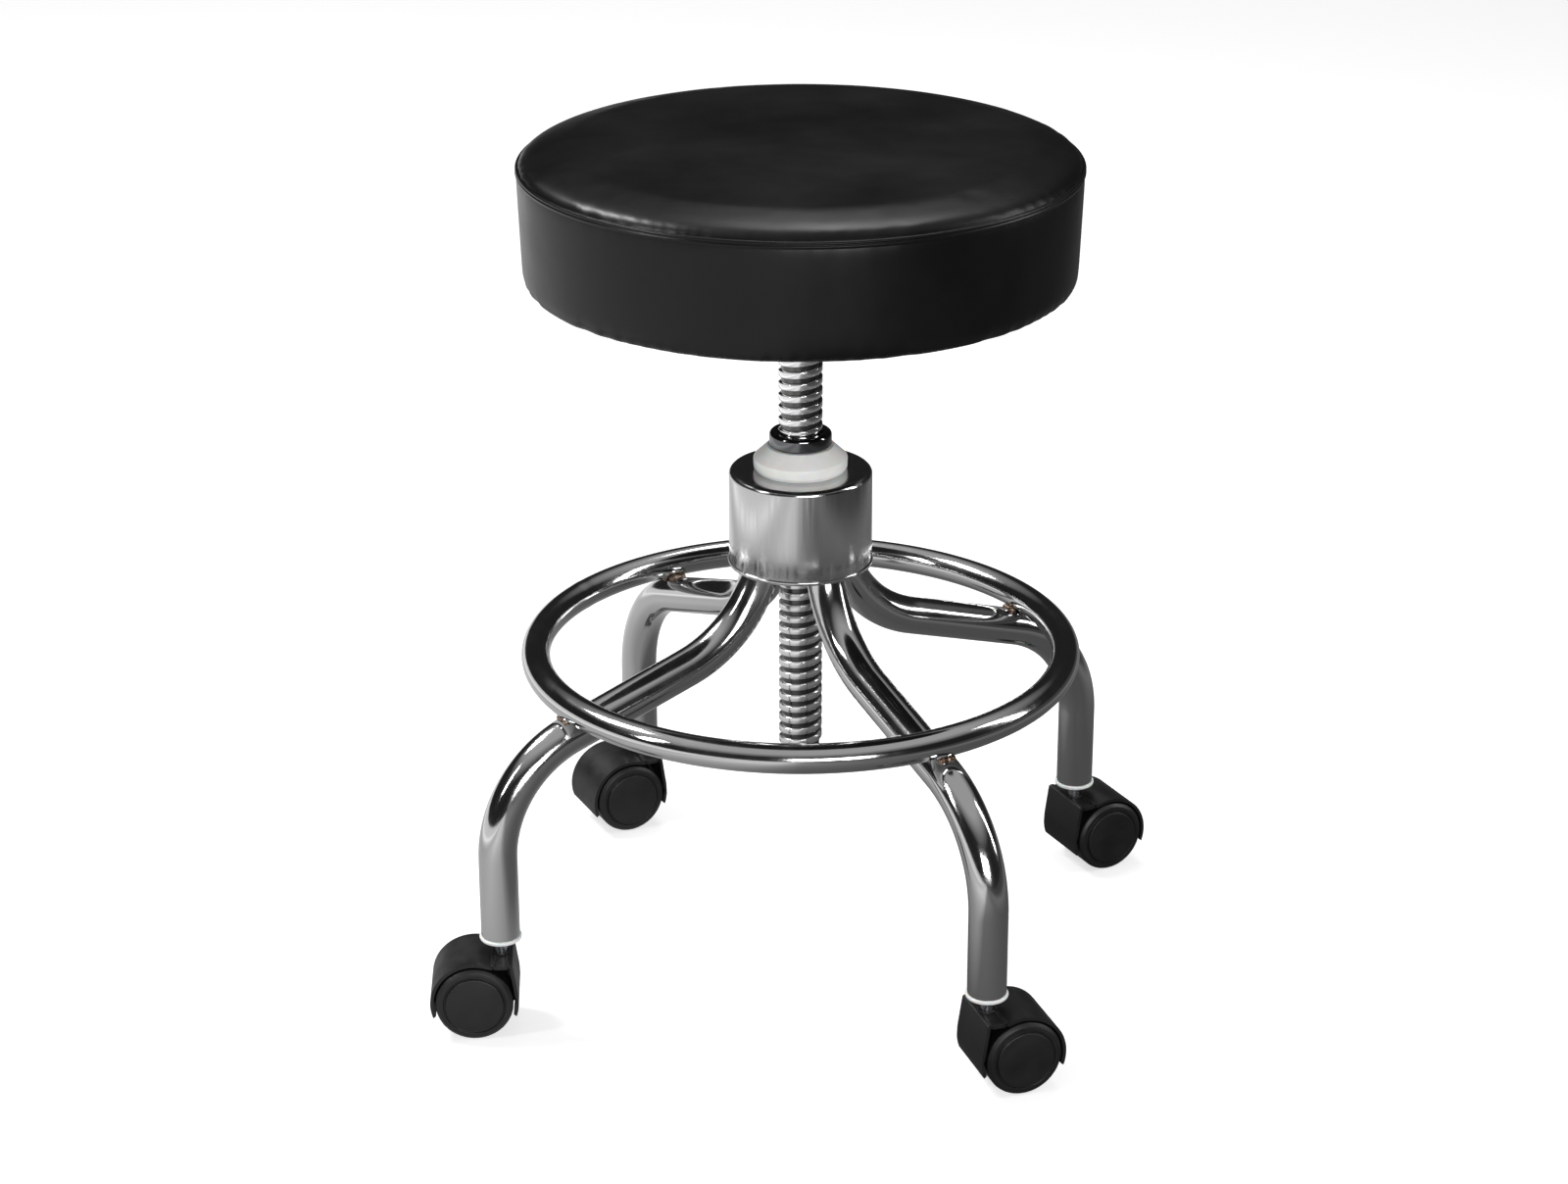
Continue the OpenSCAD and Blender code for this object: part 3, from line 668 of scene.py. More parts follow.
WELD = weld_bead()
touch = Vector((ring_r, 0, ring_z)) - run_up * (RING_TUBE_R + WELD_GAP / 2)
balls = []
for way in (-1, 1):
    for k in range(BEAD_DROPS):
        across = (k - (BEAD_DROPS - 1) / 2) * BEAD_STEP
        spot = touch + run_dir * way * (BEAD_REACH - 0.02 * across**2)
        spot.y = across
        spot.z -= across**2 / (2 * LEG_R) * 0.6
        grow = 1.0 + 0.12 * math.sin(2.3 * k + way)
        balls.append(drop(spot * MM, (BEAD_R * grow, 1.6, BEAD_R * 0.85 * grow), (0, LEG_SLOPE, 0)))
bead = fused("bead", balls)
beads = [copy_at(bead, "bead", Matrix.Rotation(math.radians(a), 4, "Z")) for a in LEG_TURN.values()]
bpy.data.objects.remove(bead)
piece = join("ring_weld_beads", beads)
hand_over(piece, WELD, body="base", node="ring_welds")

HUB_BEAD_DROPS = 34
leg_half = LEG_R / math.cos(math.asin(BEND_RISE / BEND_HUB_R))
balls = []
for k in range(HUB_BEAD_DROPS):
    a = 2 * math.pi * k / HUB_BEAD_DROPS
    spot = Vector((leg_top_r + (leg_half + 0.3) * math.cos(a), (LEG_R + 0.3) * math.sin(a), leg_top_z - 0.9))
    if spot.xy.length > 15.6 + 1.2:
        balls.append(drop(spot * MM, (1.7, 1.7, 0.95)))
bead = fused("bead", balls)
beads = [copy_at(bead, "bead", Matrix.Rotation(math.radians(a), 4, "Z")) for a in LEG_TURN.values()]
bpy.data.objects.remove(bead)
piece = join("hub_weld_beads", beads)
hand_over(piece, WELD, body="base", node="leg_welds")
finish_with(nodes["screw_weld"], WELD)

# ---- Hub ----
# A drum pressed from 2 mm steel sheet with a rolled shoulder, welded to a base plate whose edge stands
# out a little. Both are chromed; the drum is drawn, so its mirror is softer than the tubes'.

hub_low, hub_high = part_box("hub_shell")
hub_r = hub_high.x / MM
hub_bottom_z, hub_top_z = hub_low.z / MM, hub_high.z / MM
plate_low, plate_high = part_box("hub_base_plate")
lip_r = plate_high.x / MM
HUB_WALL = 2.0
HUB_SHOULDER = 3.2
HUB_OPENING_R = 22.1
PLATE_BORE_R = 16.05


def drawn_chrome():
    # Chrome on deep-drawn sheet: the drawing leaves faint upright streaks, so reflections spread.
    material, shader, place = new_material("drawn_chrome_plate", "#c4c4c4", metallic=1.0, roughness=0.2)
    stretch = add(material, "Mapping", {"Vector": (place, "Object")}, {"Scale": (1.0, 1.0, 0.03)})
    streak = add(
        material,
        "TexNoise",
        {"Vector": (stretch, "Vector")},
        {"Scale": 380.0, "Detail": 3.0, "Roughness": 0.6},
    )
    rough = add(
        material,
        "MapRange",
        {"Value": (streak, "Fac")},
        {"From Min": 0.35, "From Max": 0.68, "To Min": 0.13, "To Max": 0.24},
    )
    feed(material, shader, "Roughness", rough, "Result")
    bump = add(material, "Bump", {"Height": (streak, "Fac")}, {"Strength": 0.1, "Distance": 0.00006})
    feed(material, shader, "Normal", bump, "Normal")
    return material


DRAWN_CHROME = drawn_chrome()
piece = lathe(
    "hub_drum",
    [
        (hub_r, hub_bottom_z, 0.3),
        (hub_r, hub_top_z, HUB_SHOULDER),
        (HUB_OPENING_R, hub_top_z, 0.8),
        (HUB_OPENING_R, hub_top_z - 2.5, 0.3),
        (hub_r - HUB_WALL, hub_top_z - 2.5, 1.2),
        (hub_r - HUB_WALL, hub_bottom_z, 0.3),
    ],
    steps=192,
)
hand_over(piece, DRAWN_CHROME, body="base", node="hub_shell")

piece = lathe(
    "hub_foot_plate",
    [
        (PLATE_BORE_R, plate_low.z / MM, 0.4),
        (lip_r, plate_low.z / MM, 0.7),
        (lip_r, plate_high.z / MM, 0.7),
        (PLATE_BORE_R, plate_high.z / MM, 0.4),
    ],
    steps=192,
)
hand_over(piece, CHROME, body="base", node="hub_base_plate")

# ---- Bushing and collar ----
# The bushing is turned from white nylon: a spigot in the drum, a straight flange and a cone on top that
# guides the screw. A loose chromed steel collar lies on the cone and keeps dust from the thread; its
# colour is painted dark, a painted reflection of the black seat above it.

bushing_low, bushing_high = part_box("nylon_bushing")
flange_r = bushing_high.x / MM
bushing_top_z = bushing_high.z / MM
GUIDE_BORE_R = 14.55
SPIGOT_R = 22.0
FLANGE_H = 8.2
collar_low, collar_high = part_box("collar_ring")
collar_r = collar_high.x / MM

piece = lathe(
    "guide_bushing",
    [
        (GUIDE_BORE_R, bushing_low.z / MM, 0.5),
        (SPIGOT_R, bushing_low.z / MM, 0.5),
        (SPIGOT_R, hub_top_z, 0),
        (flange_r - 1.6, hub_top_z, 0.6),
        (flange_r - 0.2, hub_top_z + 2.4, 0.8),
        (flange_r, hub_top_z + FLANGE_H, 1.6),
        (collar_r + 1.5, bushing_top_z, 1.0),
        (GUIDE_BORE_R, bushing_top_z, 0.4),
    ],
    steps=160,
)
hand_over(piece, WHITE_NYLON, body="base", node="nylon_bushing")

piece = lathe(
    "dust_collar",
    [
        (GUIDE_BORE_R, collar_low.z / MM, 0.4),
        (collar_r, collar_low.z / MM, 1.2),
        (collar_r, collar_high.z / MM, 2.6),
        (GUIDE_BORE_R, collar_high.z / MM, 0.8),
    ],
    steps=160,
)
# the collar's chrome is painted dark: a painted reflection of the black seat above it
CHROME_PAINTED_DARK = chrome("chrome_painted_dark", 0.08, 0.16, "#6a6b6d")
hand_over(piece, CHROME_PAINTED_DARK, body="collar", node="collar_ring")

# ---- Lead screw ----
# A steel bar with a rolled trapezoidal thread, one start, right hand, 8 mm a turn, and a plain end that
# keeps it in the nut. It is chromed; its colour is painted near white on the crests and dark in the valleys,
# as painted highlight and painted shade.

screw_low, screw_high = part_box("lead_screw")
CREST_R = 14.25
ROOT_R = 12.5
PITCH = 8.0
SCREW_PLAIN_L = 9.0
thread_z = screw_low.z / MM + SCREW_PLAIN_L
TURNS = int((screw_high.z / MM - thread_z - 2) / PITCH) - 1
RUN_OUT = 0.35


def lead_screw():
    core = lathe(
        "core",
        [
            (0, screw_low.z / MM, 0),
            (ROOT_R, screw_low.z / MM, 1.5),
            (ROOT_R, screw_high.z / MM, 0),
            (0, screw_high.z / MM, 0),
        ],
        steps=96,
    )
    outline = [
        (ROOT_R - 0.7, 0, 0),
        (ROOT_R, 0.03 * PITCH, 0.25),
        (CREST_R, 0.12 * PITCH, 0.3),
        (CREST_R, 0.62 * PITCH, 0.3),
        (ROOT_R, 0.71 * PITCH, 0.25),
        (ROOT_R - 0.7, 0.74 * PITCH, 0),
    ]
    ridge = wire("ridge", rounded(outline, 2), closed=True)
    bpy.ops.object.mode_set(mode="OBJECT")
    modify(
        ridge, "SCREW", angle=2 * math.pi, screw_offset=PITCH * MM, iterations=TURNS,
        steps=64, render_steps=64, use_merge_vertices=False,
    )
    for vertex in ridge.data.vertices:
        # the thread runs out into the bar over its first and last third of a turn
        angle = math.atan2(vertex.co.y, vertex.co.x) % (2 * math.pi) / (2 * math.pi)
        turn = round((vertex.co.z / MM - 0.37 * PITCH) / PITCH - angle) + angle
        near_end = max(0.0, min(1.0, turn / RUN_OUT, (TURNS - turn) / RUN_OUT))
        radius = vertex.co.xy.length
        low = (ROOT_R - 0.7) * MM
        scale = (low + (radius - low) * near_end) / radius
        vertex.co.x *= scale
        vertex.co.y *= scale
        vertex.co.z += thread_z * MM
    only(ridge)
    bpy.ops.object.mode_set(mode="EDIT")
    bpy.ops.mesh.select_all(action="SELECT")
    bpy.ops.mesh.remove_doubles(threshold=1e-6)
    bpy.ops.mesh.fill_holes(sides=0)
    close_mesh(ridge, 40)
    return join("lead_screw_bar", [core, ridge])


def thread_chrome_painted_shade():
    # Chromed thread with painted light: near white on the crests, darkening into the valleys as painted
    # shade.
    material = chrome("chromed_thread_painted_shade", 0.12, 0.26)
    shader = material.node_tree.nodes["Principled BSDF"]
    place = add(material, "TexCoord")
    split = add(material, "SeparateXYZ", {"Vector": (place, "Object")})
    flat = add(material, "CombineXYZ", {"X": (split, "X"), "Y": (split, "Y")})
    radius = add(material, "VectorMath", {0: (flat, "Vector")}, operation="LENGTH")
    # painted highlight and shade: the colour runs from dark at the thread's root to near white on its crest
    depth = add(
        material,
        "MapRange",
        {"Value": (radius, "Value")},
        {"From Min": (ROOT_R - 0.1) * MM, "From Max": (ROOT_R + 0.9) * MM, "To Min": 0.0, "To Max": 1.0},
    )
    tint = add(material, "ValToRGB", {"Fac": (depth, "Result")}, stops=((0.0, "#343331"), (1.0, "#f0f0f0")))
    feed(material, shader, "Base Color", tint, "Color")
    return material


piece = lead_screw()
hand_over(piece, thread_chrome_painted_shade(), body="seat", node="lead_screw")

# ---- Seat plate and board ----
# A 4 mm steel plate, powder coated black, is welded to the screw and bolted through the plywood board.
# The board's face is birch veneer; its plies show at the edge.

BOARD_PLY = 1.7


def powder_coat():
    # Black polyester powder: baked, with a soft gloss and the fine orange peel of the coating.
    material, shader, place = new_material("black_powder_coat", "#101010", roughness=0.42, ior=1.5)
    peel = add(material, "TexNoise", {"Vector": (place, "Object")}, {"Scale": 700.0, "Detail": 2.0})
    bump = add(material, "Bump", {"Height": (peel, "Fac")}, {"Strength": 0.35, "Distance": 0.00012})
    feed(material, shader, "Normal", bump, "Normal")
    rough = add(
        material,
        "MapRange",
        {"Value": (peel, "Fac")},
        {"From Min": 0.3, "From Max": 0.7, "To Min": 0.36, "To Max": 0.5},
    )
    feed(material, shader, "Roughness", rough, "Result")
    return material


def birch_ply():
    # Rotary-cut birch: pale, with long soft figure; at the edge dark and light plies alternate.
    material, shader, place = new_material("birch_plywood", "#c8a673", roughness=0.62)
    grain_space = add(material, "Mapping", {"Vector": (place, "Object")}, {"Scale": (1.0, 9.0, 1.0)})
    figure = add(
        material,
        "TexNoise",
        {"Vector": (grain_space, "Vector")},
        {"Scale": 14.0, "Detail": 5.0, "Distortion": 1.2},
    )
    tint = add(material, "ValToRGB", {"Fac": (figure, "Fac")}, stops=((0.35, "#b48d58"), (0.65, "#d9bd8e")))
    plies = add(
        material,
        "TexWave",
        {"Vector": (place, "Object")},
        {"Scale": 0.314 / (BOARD_PLY * 2 * MM), "Distortion": 0.3},
        bands_direction="Z",
    )
    mixed = add(
        material,
        "Mix",
        {6: (tint, "Color"), 0: (plies, "Fac")},
        {7: colour("#94703f")},
        data_type="RGBA",
        blend_type="MULTIPLY",
    )
    feed(material, shader, "Base Color", mixed, 2)
    return material


finish_with(nodes["seat_plate"], powder_coat())
finish_with(nodes["seat_board"], birch_ply())

# ---- Foam pad ----
# Cut polyurethane foam glued to the board, pulled in at the seam and the lower edge by its cover, so
# that the top crowns and the side swells a little between them.

seat_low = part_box("seat_side_band")[0].z / MM
seam_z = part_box("seat_top_panel")[0].z / MM
crown_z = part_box("seat_top_panel")[1].z / MM
seat_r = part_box("seat_welt")[1].x / MM
SEAT_TAPER = 3.0
BOTTOM_IN = 1.9
VINYL_T = 1.4
SHOULDER = 22.0
SWELL_LIMIT = 1.4
EVENNESS = 0.92
RING_STEP = 5.0
HELD_BAND = 3.5


def foam_material():
    # Open-cell polyurethane: warm yellow-white, matt, with cells a millimetre across.
    material, shader, place = new_material("polyurethane_foam", "#ddd2a2", roughness=0.95)
    cells = add(material, "TexVoronoi", {"Vector": (place, "Object")}, {"Scale": 900.0})
    bump = add(material, "Bump", {"Height": (cells, "Distance")}, {"Strength": 0.6, "Distance": 0.0006})
    feed(material, shader, "Normal", bump, "Normal")
    tint = add(material, "ValToRGB", {"Fac": (cells, "Distance")}, stops=((0.0, "#b7a873"), (1.0, "#e6dcb0")))
    feed(material, shader, "Base Color", tint, "Color")
    return material


def pad_outline(inset):
    """Half outline of the cushion, a distance inside the vinyl's face, from the crown to the underside."""
    side_r = seat_r - inset
    low_r = seat_r - SEAT_TAPER - inset
    top = [(0, crown_z - inset, 0)]
    for a in range(90, 0, -9):
        rise = (crown_z - 2.2 - seam_z) * math.sin(math.radians(a)) ** 0.9
        reach = side_r - SHOULDER + SHOULDER * math.cos(math.radians(a))
        top.append((reach, seam_z + rise - inset * math.sin(math.radians(a)), 0))
    return top + [
        (side_r, seam_z, 0),
        (side_r, seam_z - 4, 0),
        (low_r + 0.5, seat_low + BOTTOM_IN, 1.5),
        (0, seat_low + BOTTOM_IN, 0),
    ]


def swell(piece):
    """Fills the pad: its seam and underside are held while air pressure presses the rest out, and no
    point moves further than the cover lets it."""
    rest = [vertex.co.copy() for vertex in piece.data.vertices]
    held = piece.vertex_groups.new(name="held")
    for vertex in piece.data.vertices:
        height = vertex.co.z / MM
        outer = vertex.co.xy.length / MM > seat_r - 9
        if height < seat_low + 12 or (outer and abs(height - seam_z) < HELD_BAND):
            held.add([vertex.index], 1.0, "REPLACE")
    only(piece)
    cloth = piece.modifiers.new("Cloth", "CLOTH")
    cloth.settings.use_pressure = True
    cloth.settings.uniform_pressure_force = 4.0
    cloth.settings.effector_weights.gravity = 0
    cloth.settings.vertex_group_mass = "held"
    cloth.settings.quality = 6
    scene = bpy.context.scene
    scene.frame_start, scene.frame_end = 1, 20
    for step in range(1, 21):
        scene.frame_set(step)
    bpy.ops.object.modifier_apply(modifier="Cloth")
    scene.frame_set(1)
    # the cover evens the swelling out round the seat: each ring takes most of its own mean
    rings = {}
    for vertex, start in zip(piece.data.vertices, rest):
        key = (round(start.xy.length / MM / RING_STEP), round(start.z / MM / RING_STEP))
        out = start.xy.normalized() if start.xy.length > MM else Vector((1, 0))
        moved = vertex.co - start
        rings.setdefault(key, []).append((vertex, start, out, moved.xy.dot(out), moved.z))
    for ring in rings.values():
        mean_out = sum(entry[3] for entry in ring) / len(ring)
        mean_up = sum(entry[4] for entry in ring) / len(ring)
        for vertex, start, out, own_out, own_up in ring:
            side = EVENNESS * mean_out + (1 - EVENNESS) * own_out
            moved = Vector((out.x * side, out.y * side, EVENNESS * mean_up + (1 - EVENNESS) * own_up))
            if moved.length > SWELL_LIMIT * MM:
                moved = moved.normalized() * SWELL_LIMIT * MM
            vertex.co = start + moved
    return piece


pad = lathe("foam_pad", pad_outline(2.4), steps=160)
modify(pad, "REMESH", mode="VOXEL", voxel_size=4.5 * MM)
close_mesh(pad, 180)
swell(pad)
modify(pad, "SMOOTH", factor=0.5, iterations=6)
modify(pad, "SUBSURF", levels=1, render_levels=1)
close_mesh(pad, 180)
cover = copy_at(pad, "cover", Matrix.Identity(4))
foam = copy_at(pad, "foam_cushion", Matrix.Identity(4))
bpy.data.objects.remove(pad)
# the foam stops at the board's top, which only the cover goes round
only(foam)
bpy.ops.object.mode_set(mode="EDIT")
bpy.ops.mesh.select_all(action="SELECT")
over_board = (0, 0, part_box("seat_board")[1].z)
bpy.ops.mesh.bisect(plane_co=over_board, plane_no=(0, 0, 1), use_fill=True, clear_inner=True)
close_mesh(foam, 60)
hand_over(foam, foam_material(), body="seat", node="seat_foam")

# ---- Vinyl cover ----
# Black expanded vinyl with a fine, almost smooth grain, in two pieces: a round top and a side band that
# wraps under the board. They are sewn face to face and the seam is turned and stitched down flat.


def black_vinyl():
    # Expanded PVC upholstery film: deep black and satin, with a shallow hair-cell grain; it is polished
    # a little where people sit and slide off.
    material, shader, place = new_material(
        "black_upholstery_vinyl", "#070707", roughness=0.33, specular_ior_level=0.28
    )
    wear = add(
        material,
        "TexNoise",
        {"Vector": (place, "Object")},
        {"Scale": 9.0, "Detail": 4.0, "Roughness": 0.6},
    )
    tint = add(material, "ValToRGB", {"Fac": (wear, "Fac")}, stops=((0.35, "#050505"), (0.7, "#0b0b0b")))
    feed(material, shader, "Base Color", tint, "Color")
    rough = add(
        material,
        "MapRange",
        {"Value": (wear, "Fac")},
        {"From Min": 0.3, "From Max": 0.7, "To Min": 0.3, "To Max": 0.42},
    )
    feed(material, shader, "Roughness", rough, "Result")
    # hair-cell grain of 0.7 mm
    cells = add(material, "TexVoronoi", {"Vector": (place, "Object")}, {"Scale": 1400.0})
    fine = add(material, "TexNoise", {"Vector": (place, "Object")}, {"Scale": 500.0, "Detail": 4.0})
    height = add(
        material,
        "Math",
        {0: (cells, "Distance"), 1: (fine, "Fac")},
        operation="ADD",
    )
    grain = add(material, "Bump", {"Height": (height, "Value")}, {"Strength": 0.1, "Distance": 0.00015})
    # slow unevenness of the padding, 30 to 60 mm across
    sag = add(material, "TexNoise", {"Vector": (place, "Object")}, {"Scale": 22.0, "Detail": 2.0})
    uneven = add(
        material,
        "Bump",
        {"Height": (sag, "Fac"), "Normal": (grain, "Normal")},
        {"Strength": 0.12, "Distance": 0.0015},
    )
    feed(material, shader, "Normal", uneven, "Normal")
    return material


VINYL = black_vinyl()
outwards = [vertex.normal.copy() for vertex in cover.data.vertices]
for vertex, normal in zip(cover.data.vertices, outwards):
    vertex.co += normal * 0.5 * MM


def part_of(master, name, keep):
    """The faces of a closed skin that a test keeps, with the vinyl's thickness outwards."""
    piece = copy_at(master, name, Matrix.Identity(4))
    pick_faces(piece, lambda centre: not keep(centre))
    bpy.ops.mesh.delete(type="FACE")
    bpy.ops.mesh.select_mode(type="VERT")
    modify(piece, "SOLIDIFY", thickness=VINYL_T * MM, offset=1)
    return close_mesh(piece, 60)


wrap_r = seat_r - SEAT_TAPER - 26
parts = (
    ("seat_top_cover", "seat_top_panel", lambda c: c.z > seam_z - 2),
    ("seat_side_cover", "seat_side_band", lambda c: c.z <= seam_z - 2 and c.xy.length > wrap_r),
)
for name, node, keep in parts:
    piece = part_of(cover, name, keep)
    hand_over(piece, VINYL, body="seat", node=node)
bpy.data.objects.remove(cover)

SEAM_W = 4.6
seam_r = seat_r - 0.1
piece = lathe(
    "seat_seam",
    [
        (seam_r - 1.6, seam_z + 1.2, 0),
        (seam_r - 0.35, seam_z + 1.0, 0.5),
        (seam_r + 0.15, seam_z + 0.1, 0.5),
        (seam_r - 0.35, seam_z - 0.9, 0.3),
        (seam_r + 0.2, seam_z - 1.9, 0.5),
        (seam_r - 0.3, seam_z - SEAM_W + 1.2, 0.5),
        (seam_r - 1.6, seam_z - SEAM_W + 0.8, 0),
    ],
    steps=288,
)
hand_over(piece, VINYL, body="seat", node="seat_welt")

# ---- Dust cloth and staples ----
# Black spun-bonded polypropylene, cut round and stapled over the vinyl's raw edge, drawn tight with a
# few shallow ripples between the staples. The staples are 11 mm wide, of 1 mm wire.

cloth_low, cloth_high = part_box("dust_cover")
cloth_r = cloth_high.x / MM
STAPLES = 24
STAPLE_W = 11.0
STAPLE_IN = 5.0
WIRE = 1.0


def spun_cloth():
    # Spun-bonded cloth: matt black fibres, bonded by a grid of small pressed dots 2 mm apart.
    material, shader, place = new_material("black_spun_bonded_cloth", "#141414", roughness=0.9)
    fibres = add(
        material,
        "TexNoise",
        {"Vector": (place, "Object")},
        {"Scale": 1500.0, "Detail": 3.0, "Distortion": 2.0},
    )
    dots = add(material, "TexVoronoi", {"Vector": (place, "Object")}, {"Scale": 500.0, "Randomness": 0.0})
    tint = add(material, "ValToRGB", {"Fac": (fibres, "Fac")}, stops=((0.0, "#0c0c0c"), (1.0, "#242424")))
    feed(material, shader, "Base Color", tint, "Color")
    bump = add(material, "Bump", {"Height": (fibres, "Fac")}, {"Strength": 0.4, "Distance": 0.0001})
    press = add(
        material,
        "Bump",
        {"Height": (dots, "Distance"), "Normal": (bump, "Normal")},
        {"Strength": 0.4, "Distance": 0.0002},
    )
    feed(material, shader, "Normal", press, "Normal")
    return material


def dust_cloth():
    start_fresh()
    middle_z = (cloth_low.z + cloth_high.z) / 2
    bpy.ops.mesh.primitive_circle_add(
        vertices=192, radius=20 * MM, fill_type="TRIFAN", location=(0, 0, middle_z)
    )
    cloth = bpy.context.object
    bpy.ops.object.mode_set(mode="EDIT")
    bpy.ops.mesh.select_all(action="DESELECT")
    bpy.ops.mesh.select_non_manifold()
    rings = 26
    for k in range(rings):
        bpy.ops.mesh.extrude_region_move(TRANSFORM_OT_translate={"value": (0, 0, 0)})
        grow = (20 + (cloth_r - 20) * (k + 1) / rings) / (20 + (cloth_r - 20) * k / rings)
        bpy.ops.transform.resize(value=(grow, grow, 1), center_override=(0, 0, middle_z))
    settle(cloth)
    for vertex in cloth.data.vertices:
        radius = vertex.co.xy.length / MM
        angle = math.atan2(vertex.co.y, vertex.co.x)
        near_edge = max(0.0, (radius - 110) / (cloth_r - 110))
        vertex.co.z += 0.18 * MM * near_edge**2 * math.cos(STAPLES * angle)
    close_mesh(cloth, 60)
    modify(cloth, "SOLIDIFY", thickness=0.3 * MM, offset=0)
    return close_mesh(cloth, 60)


piece = dust_cloth()
piece.name = "dust_cloth"
hand_over(piece, spun_cloth(), body="seat", node="dust_cover")


def staple():
    half = STAPLE_W / 2
    crown_y = cloth_low.z / MM - WIRE / 2 + 0.1
    path = wire("staple", rounded([(-half, crown_y + 6, 0), (-half, crown_y, 1), (half, crown_y, 1),
                                   (half, crown_y + 6, 0)], 3))
    bpy.ops.object.mode_set(mode="OBJECT")
    bpy.ops.object.convert(target="CURVE")
    path = bpy.context.object
    path.data.bevel_depth = WIRE / 2 * MM
    path.data.bevel_resolution = 1
    path.data.use_fill_caps = True
    bpy.ops.object.convert(target="MESH")
    return close_mesh(bpy.context.object, 60)


one = staple()
ring = []
for k in range(STAPLES):
    turn = Matrix.Rotation(2 * math.pi * k / STAPLES, 4, "Z")
    out = Matrix.Translation(((cloth_r - STAPLE_IN) * MM, 0, 0)) @ Matrix.Rotation(math.pi / 2, 4, "Z")
    ring.append(copy_at(one, "staple", turn @ out))
bpy.data.objects.remove(one)
piece = join("cover_staple_ring", ring)
hand_over(piece, ZINC, body="seat", node="cover_staples")

# ---- Studio ----
# A plain pale floor in a dim room. A softbox hangs high at the left and a little beyond the stool, a
# wide low panel stands in front, slim strips at the front left and the right, and a soft light overhead.

CAMERA_PLACE = Vector((-1.0958, -1.8208, 1.1265))
CAMERA_LENS = 80.56
CAMERA_PITCH = math.radians(22.31)
CAMERA_AZIMUTH = math.radians(-31.04)
CAMERA_SHIFT = (-0.0105, 0.0)
LIGHT_AIM = Vector((0, 0, 0.35))
FLOOR_SIZE = 40
FLOOR_GLOW = 0.62
FLOOR_REACH = 1.1  # metres to either side over which the mirrored floor changes tone
WHITE = (1, 1, 1, 1)
toward = Vector((-CAMERA_PLACE.x, -CAMERA_PLACE.y, 0)).normalized()
rightward = Vector((toward.y, -toward.x, 0))


def grey_ramp(node, first, last, between=()):
    """Sets the stops of a ramp, each a position and a linear grey."""
    stops = node.color_ramp.elements
    for k, (position, grey) in enumerate((first, last)):
        stops[k].position = position
        stops[k].color = (grey, grey, grey, 1)
    for position, grey in between:
        stops.new(position).color = (grey, grey, grey, 1)


def floor_paint():
    # Pale and matt to the eye; to the chrome it is the dark floor of a dim room.
    material, shader, place = new_material("pale_floor", "#c8c8c8", roughness=0.9)
    glow = add(material, "Emission", values={"Color": WHITE, "Strength": FLOOR_GLOW})
    pale = add(material, "AddShader", {0: (shader, 0), 1: (glow, 0)})
    # what a mirror sees: a floor lit from the left of the camera, falling off to the right
    across = add(
        material,
        "VectorMath",
        {0: (place, "Object")},
        {1: (rightward.x, rightward.y, 0)},
        operation="DOT_PRODUCT",
    )
    spread = add(
        material,
        "MapRange",
        {"Value": (across, "Value")},
        {"From Min": -FLOOR_REACH, "From Max": FLOOR_REACH, "To Min": 0.0, "To Max": 1.0},
    )
    fall_off = add(material, "ValToRGB", {"Fac": (spread, "Result")})
    left_half = ((0.08, 1.5), (0.16, 0.8), (0.22, 0.62), (0.34, 0.95), (0.45, 0.8))
    right_half = ((0.5, 0.32), (0.68, 0.17), (0.82, 0.22))
    grey_ramp(fall_off, (0.0, 0.9), (1.0, 0.07), left_half + right_half)
    # the stool shades the floor close to it
    away = add(material, "VectorMath", {0: (place, "Object")}, operation="LENGTH")
    shade = add(
        material,
        "MapRange",
        {"Value": (away, "Value")},
        {"From Min": 0.2, "From Max": 0.75, "To Min": 0.45, "To Max": 1.0},
    )
    # painted light and shadow: the floor's glow that mirrors see is brighter to the left and dimmer close to
    # the stool
    dark = add(material, "Emission", {"Color": (fall_off, "Color"), "Strength": (shade, "Result")})
    seen = add(material, "LightPath")
    both = add(material, "MixShader", {0: (seen, "Is Camera Ray"), 1: (dark, 0), 2: (pale, 0)})
    feed(material, material.node_tree.nodes["Material Output"], "Surface", both, 0)
    return material


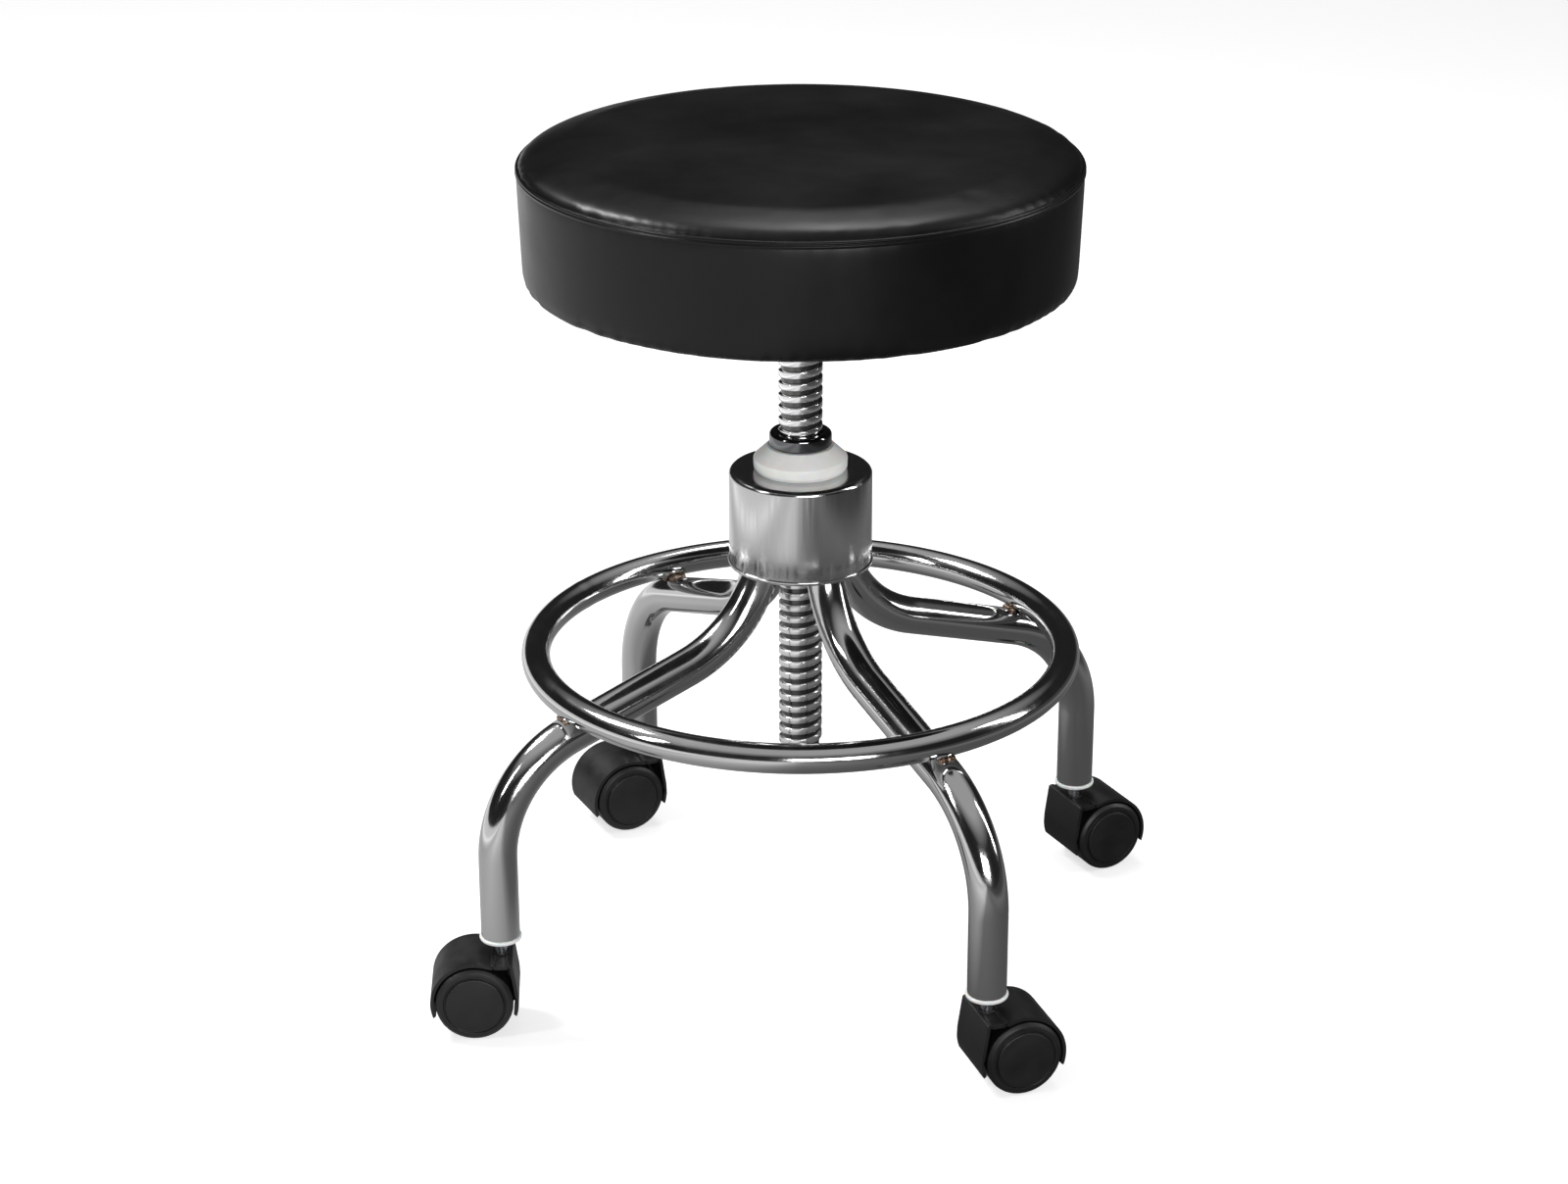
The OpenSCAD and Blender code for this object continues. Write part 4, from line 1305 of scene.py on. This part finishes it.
start_fresh()
bpy.ops.mesh.primitive_plane_add(size=FLOOR_SIZE, location=(0, 0, 0))
floor = bpy.context.object
floor.name = "floor"
floor.data.materials.append(floor_paint())

world = bpy.data.worlds.new("studio")
bpy.context.scene.world = world
world.use_nodes = True
backdrop = world.node_tree.nodes["Background"]
backdrop.inputs["Color"].default_value = WHITE
where = add(world, "TexCoord")
height = add(world, "SeparateXYZ", {"Vector": (where, "Generated")})
tone = add(world, "ValToRGB", {"Fac": (height, "Z")})
grey_ramp(tone, (0.5, 0.02), (0.82, 0.5))
room = add(world, "Background", {"Color": (tone, "Color")})
seen = add(world, "LightPath")
choose = add(world, "MixShader", {"Fac": (seen, "Is Camera Ray"), 1: (room, 0), 2: (backdrop, 0)})
feed(world, world.node_tree.nodes["World Output"], "Surface", choose, "Shader")


def soft_light(name, right, ahead, up, size, power):
    """An area light aimed at the stool, placed in metres right of, beyond and above its foot as the
    camera sees it."""
    place = rightward * right + toward * ahead + Vector((0, 0, up))
    start_fresh()
    bpy.ops.object.light_add(type="AREA", location=place)
    light = bpy.context.object
    light.name = name
    light.data.shape = "RECTANGLE"
    light.data.size, light.data.size_y = size
    light.data.energy = power
    light.rotation_euler = (LIGHT_AIM - place).to_track_quat("-Z", "Y").to_euler()


soft_light("key_softbox", -1.9, 0.7, 2.6, (0.8, 0.8), 70)
soft_light("front_strip", -2.0, -1.0, 1.5, (0.2, 0.9), 14)
soft_light("low_fill", 0.5, -2.3, 0.75, (1.2, 0.5), 32)
soft_light("right_strip", 2.0, 0.1, 1.2, (0.22, 1.4), 14)
soft_light("overhead_softbox", 0.2, 0.9, 2.4, (0.9, 0.6), 14)

camera_data = bpy.data.cameras.new("camera")
camera = bpy.data.objects.new("camera", camera_data)
bpy.context.scene.collection.objects.link(camera)
camera.location = CAMERA_PLACE
camera.rotation_euler = (math.pi / 2 - CAMERA_PITCH, 0, CAMERA_AZIMUTH)
camera_data.lens = CAMERA_LENS
camera_data.shift_x, camera_data.shift_y = CAMERA_SHIFT
bpy.context.scene.camera = camera
bpy.context.scene.view_settings.view_transform = "Standard"
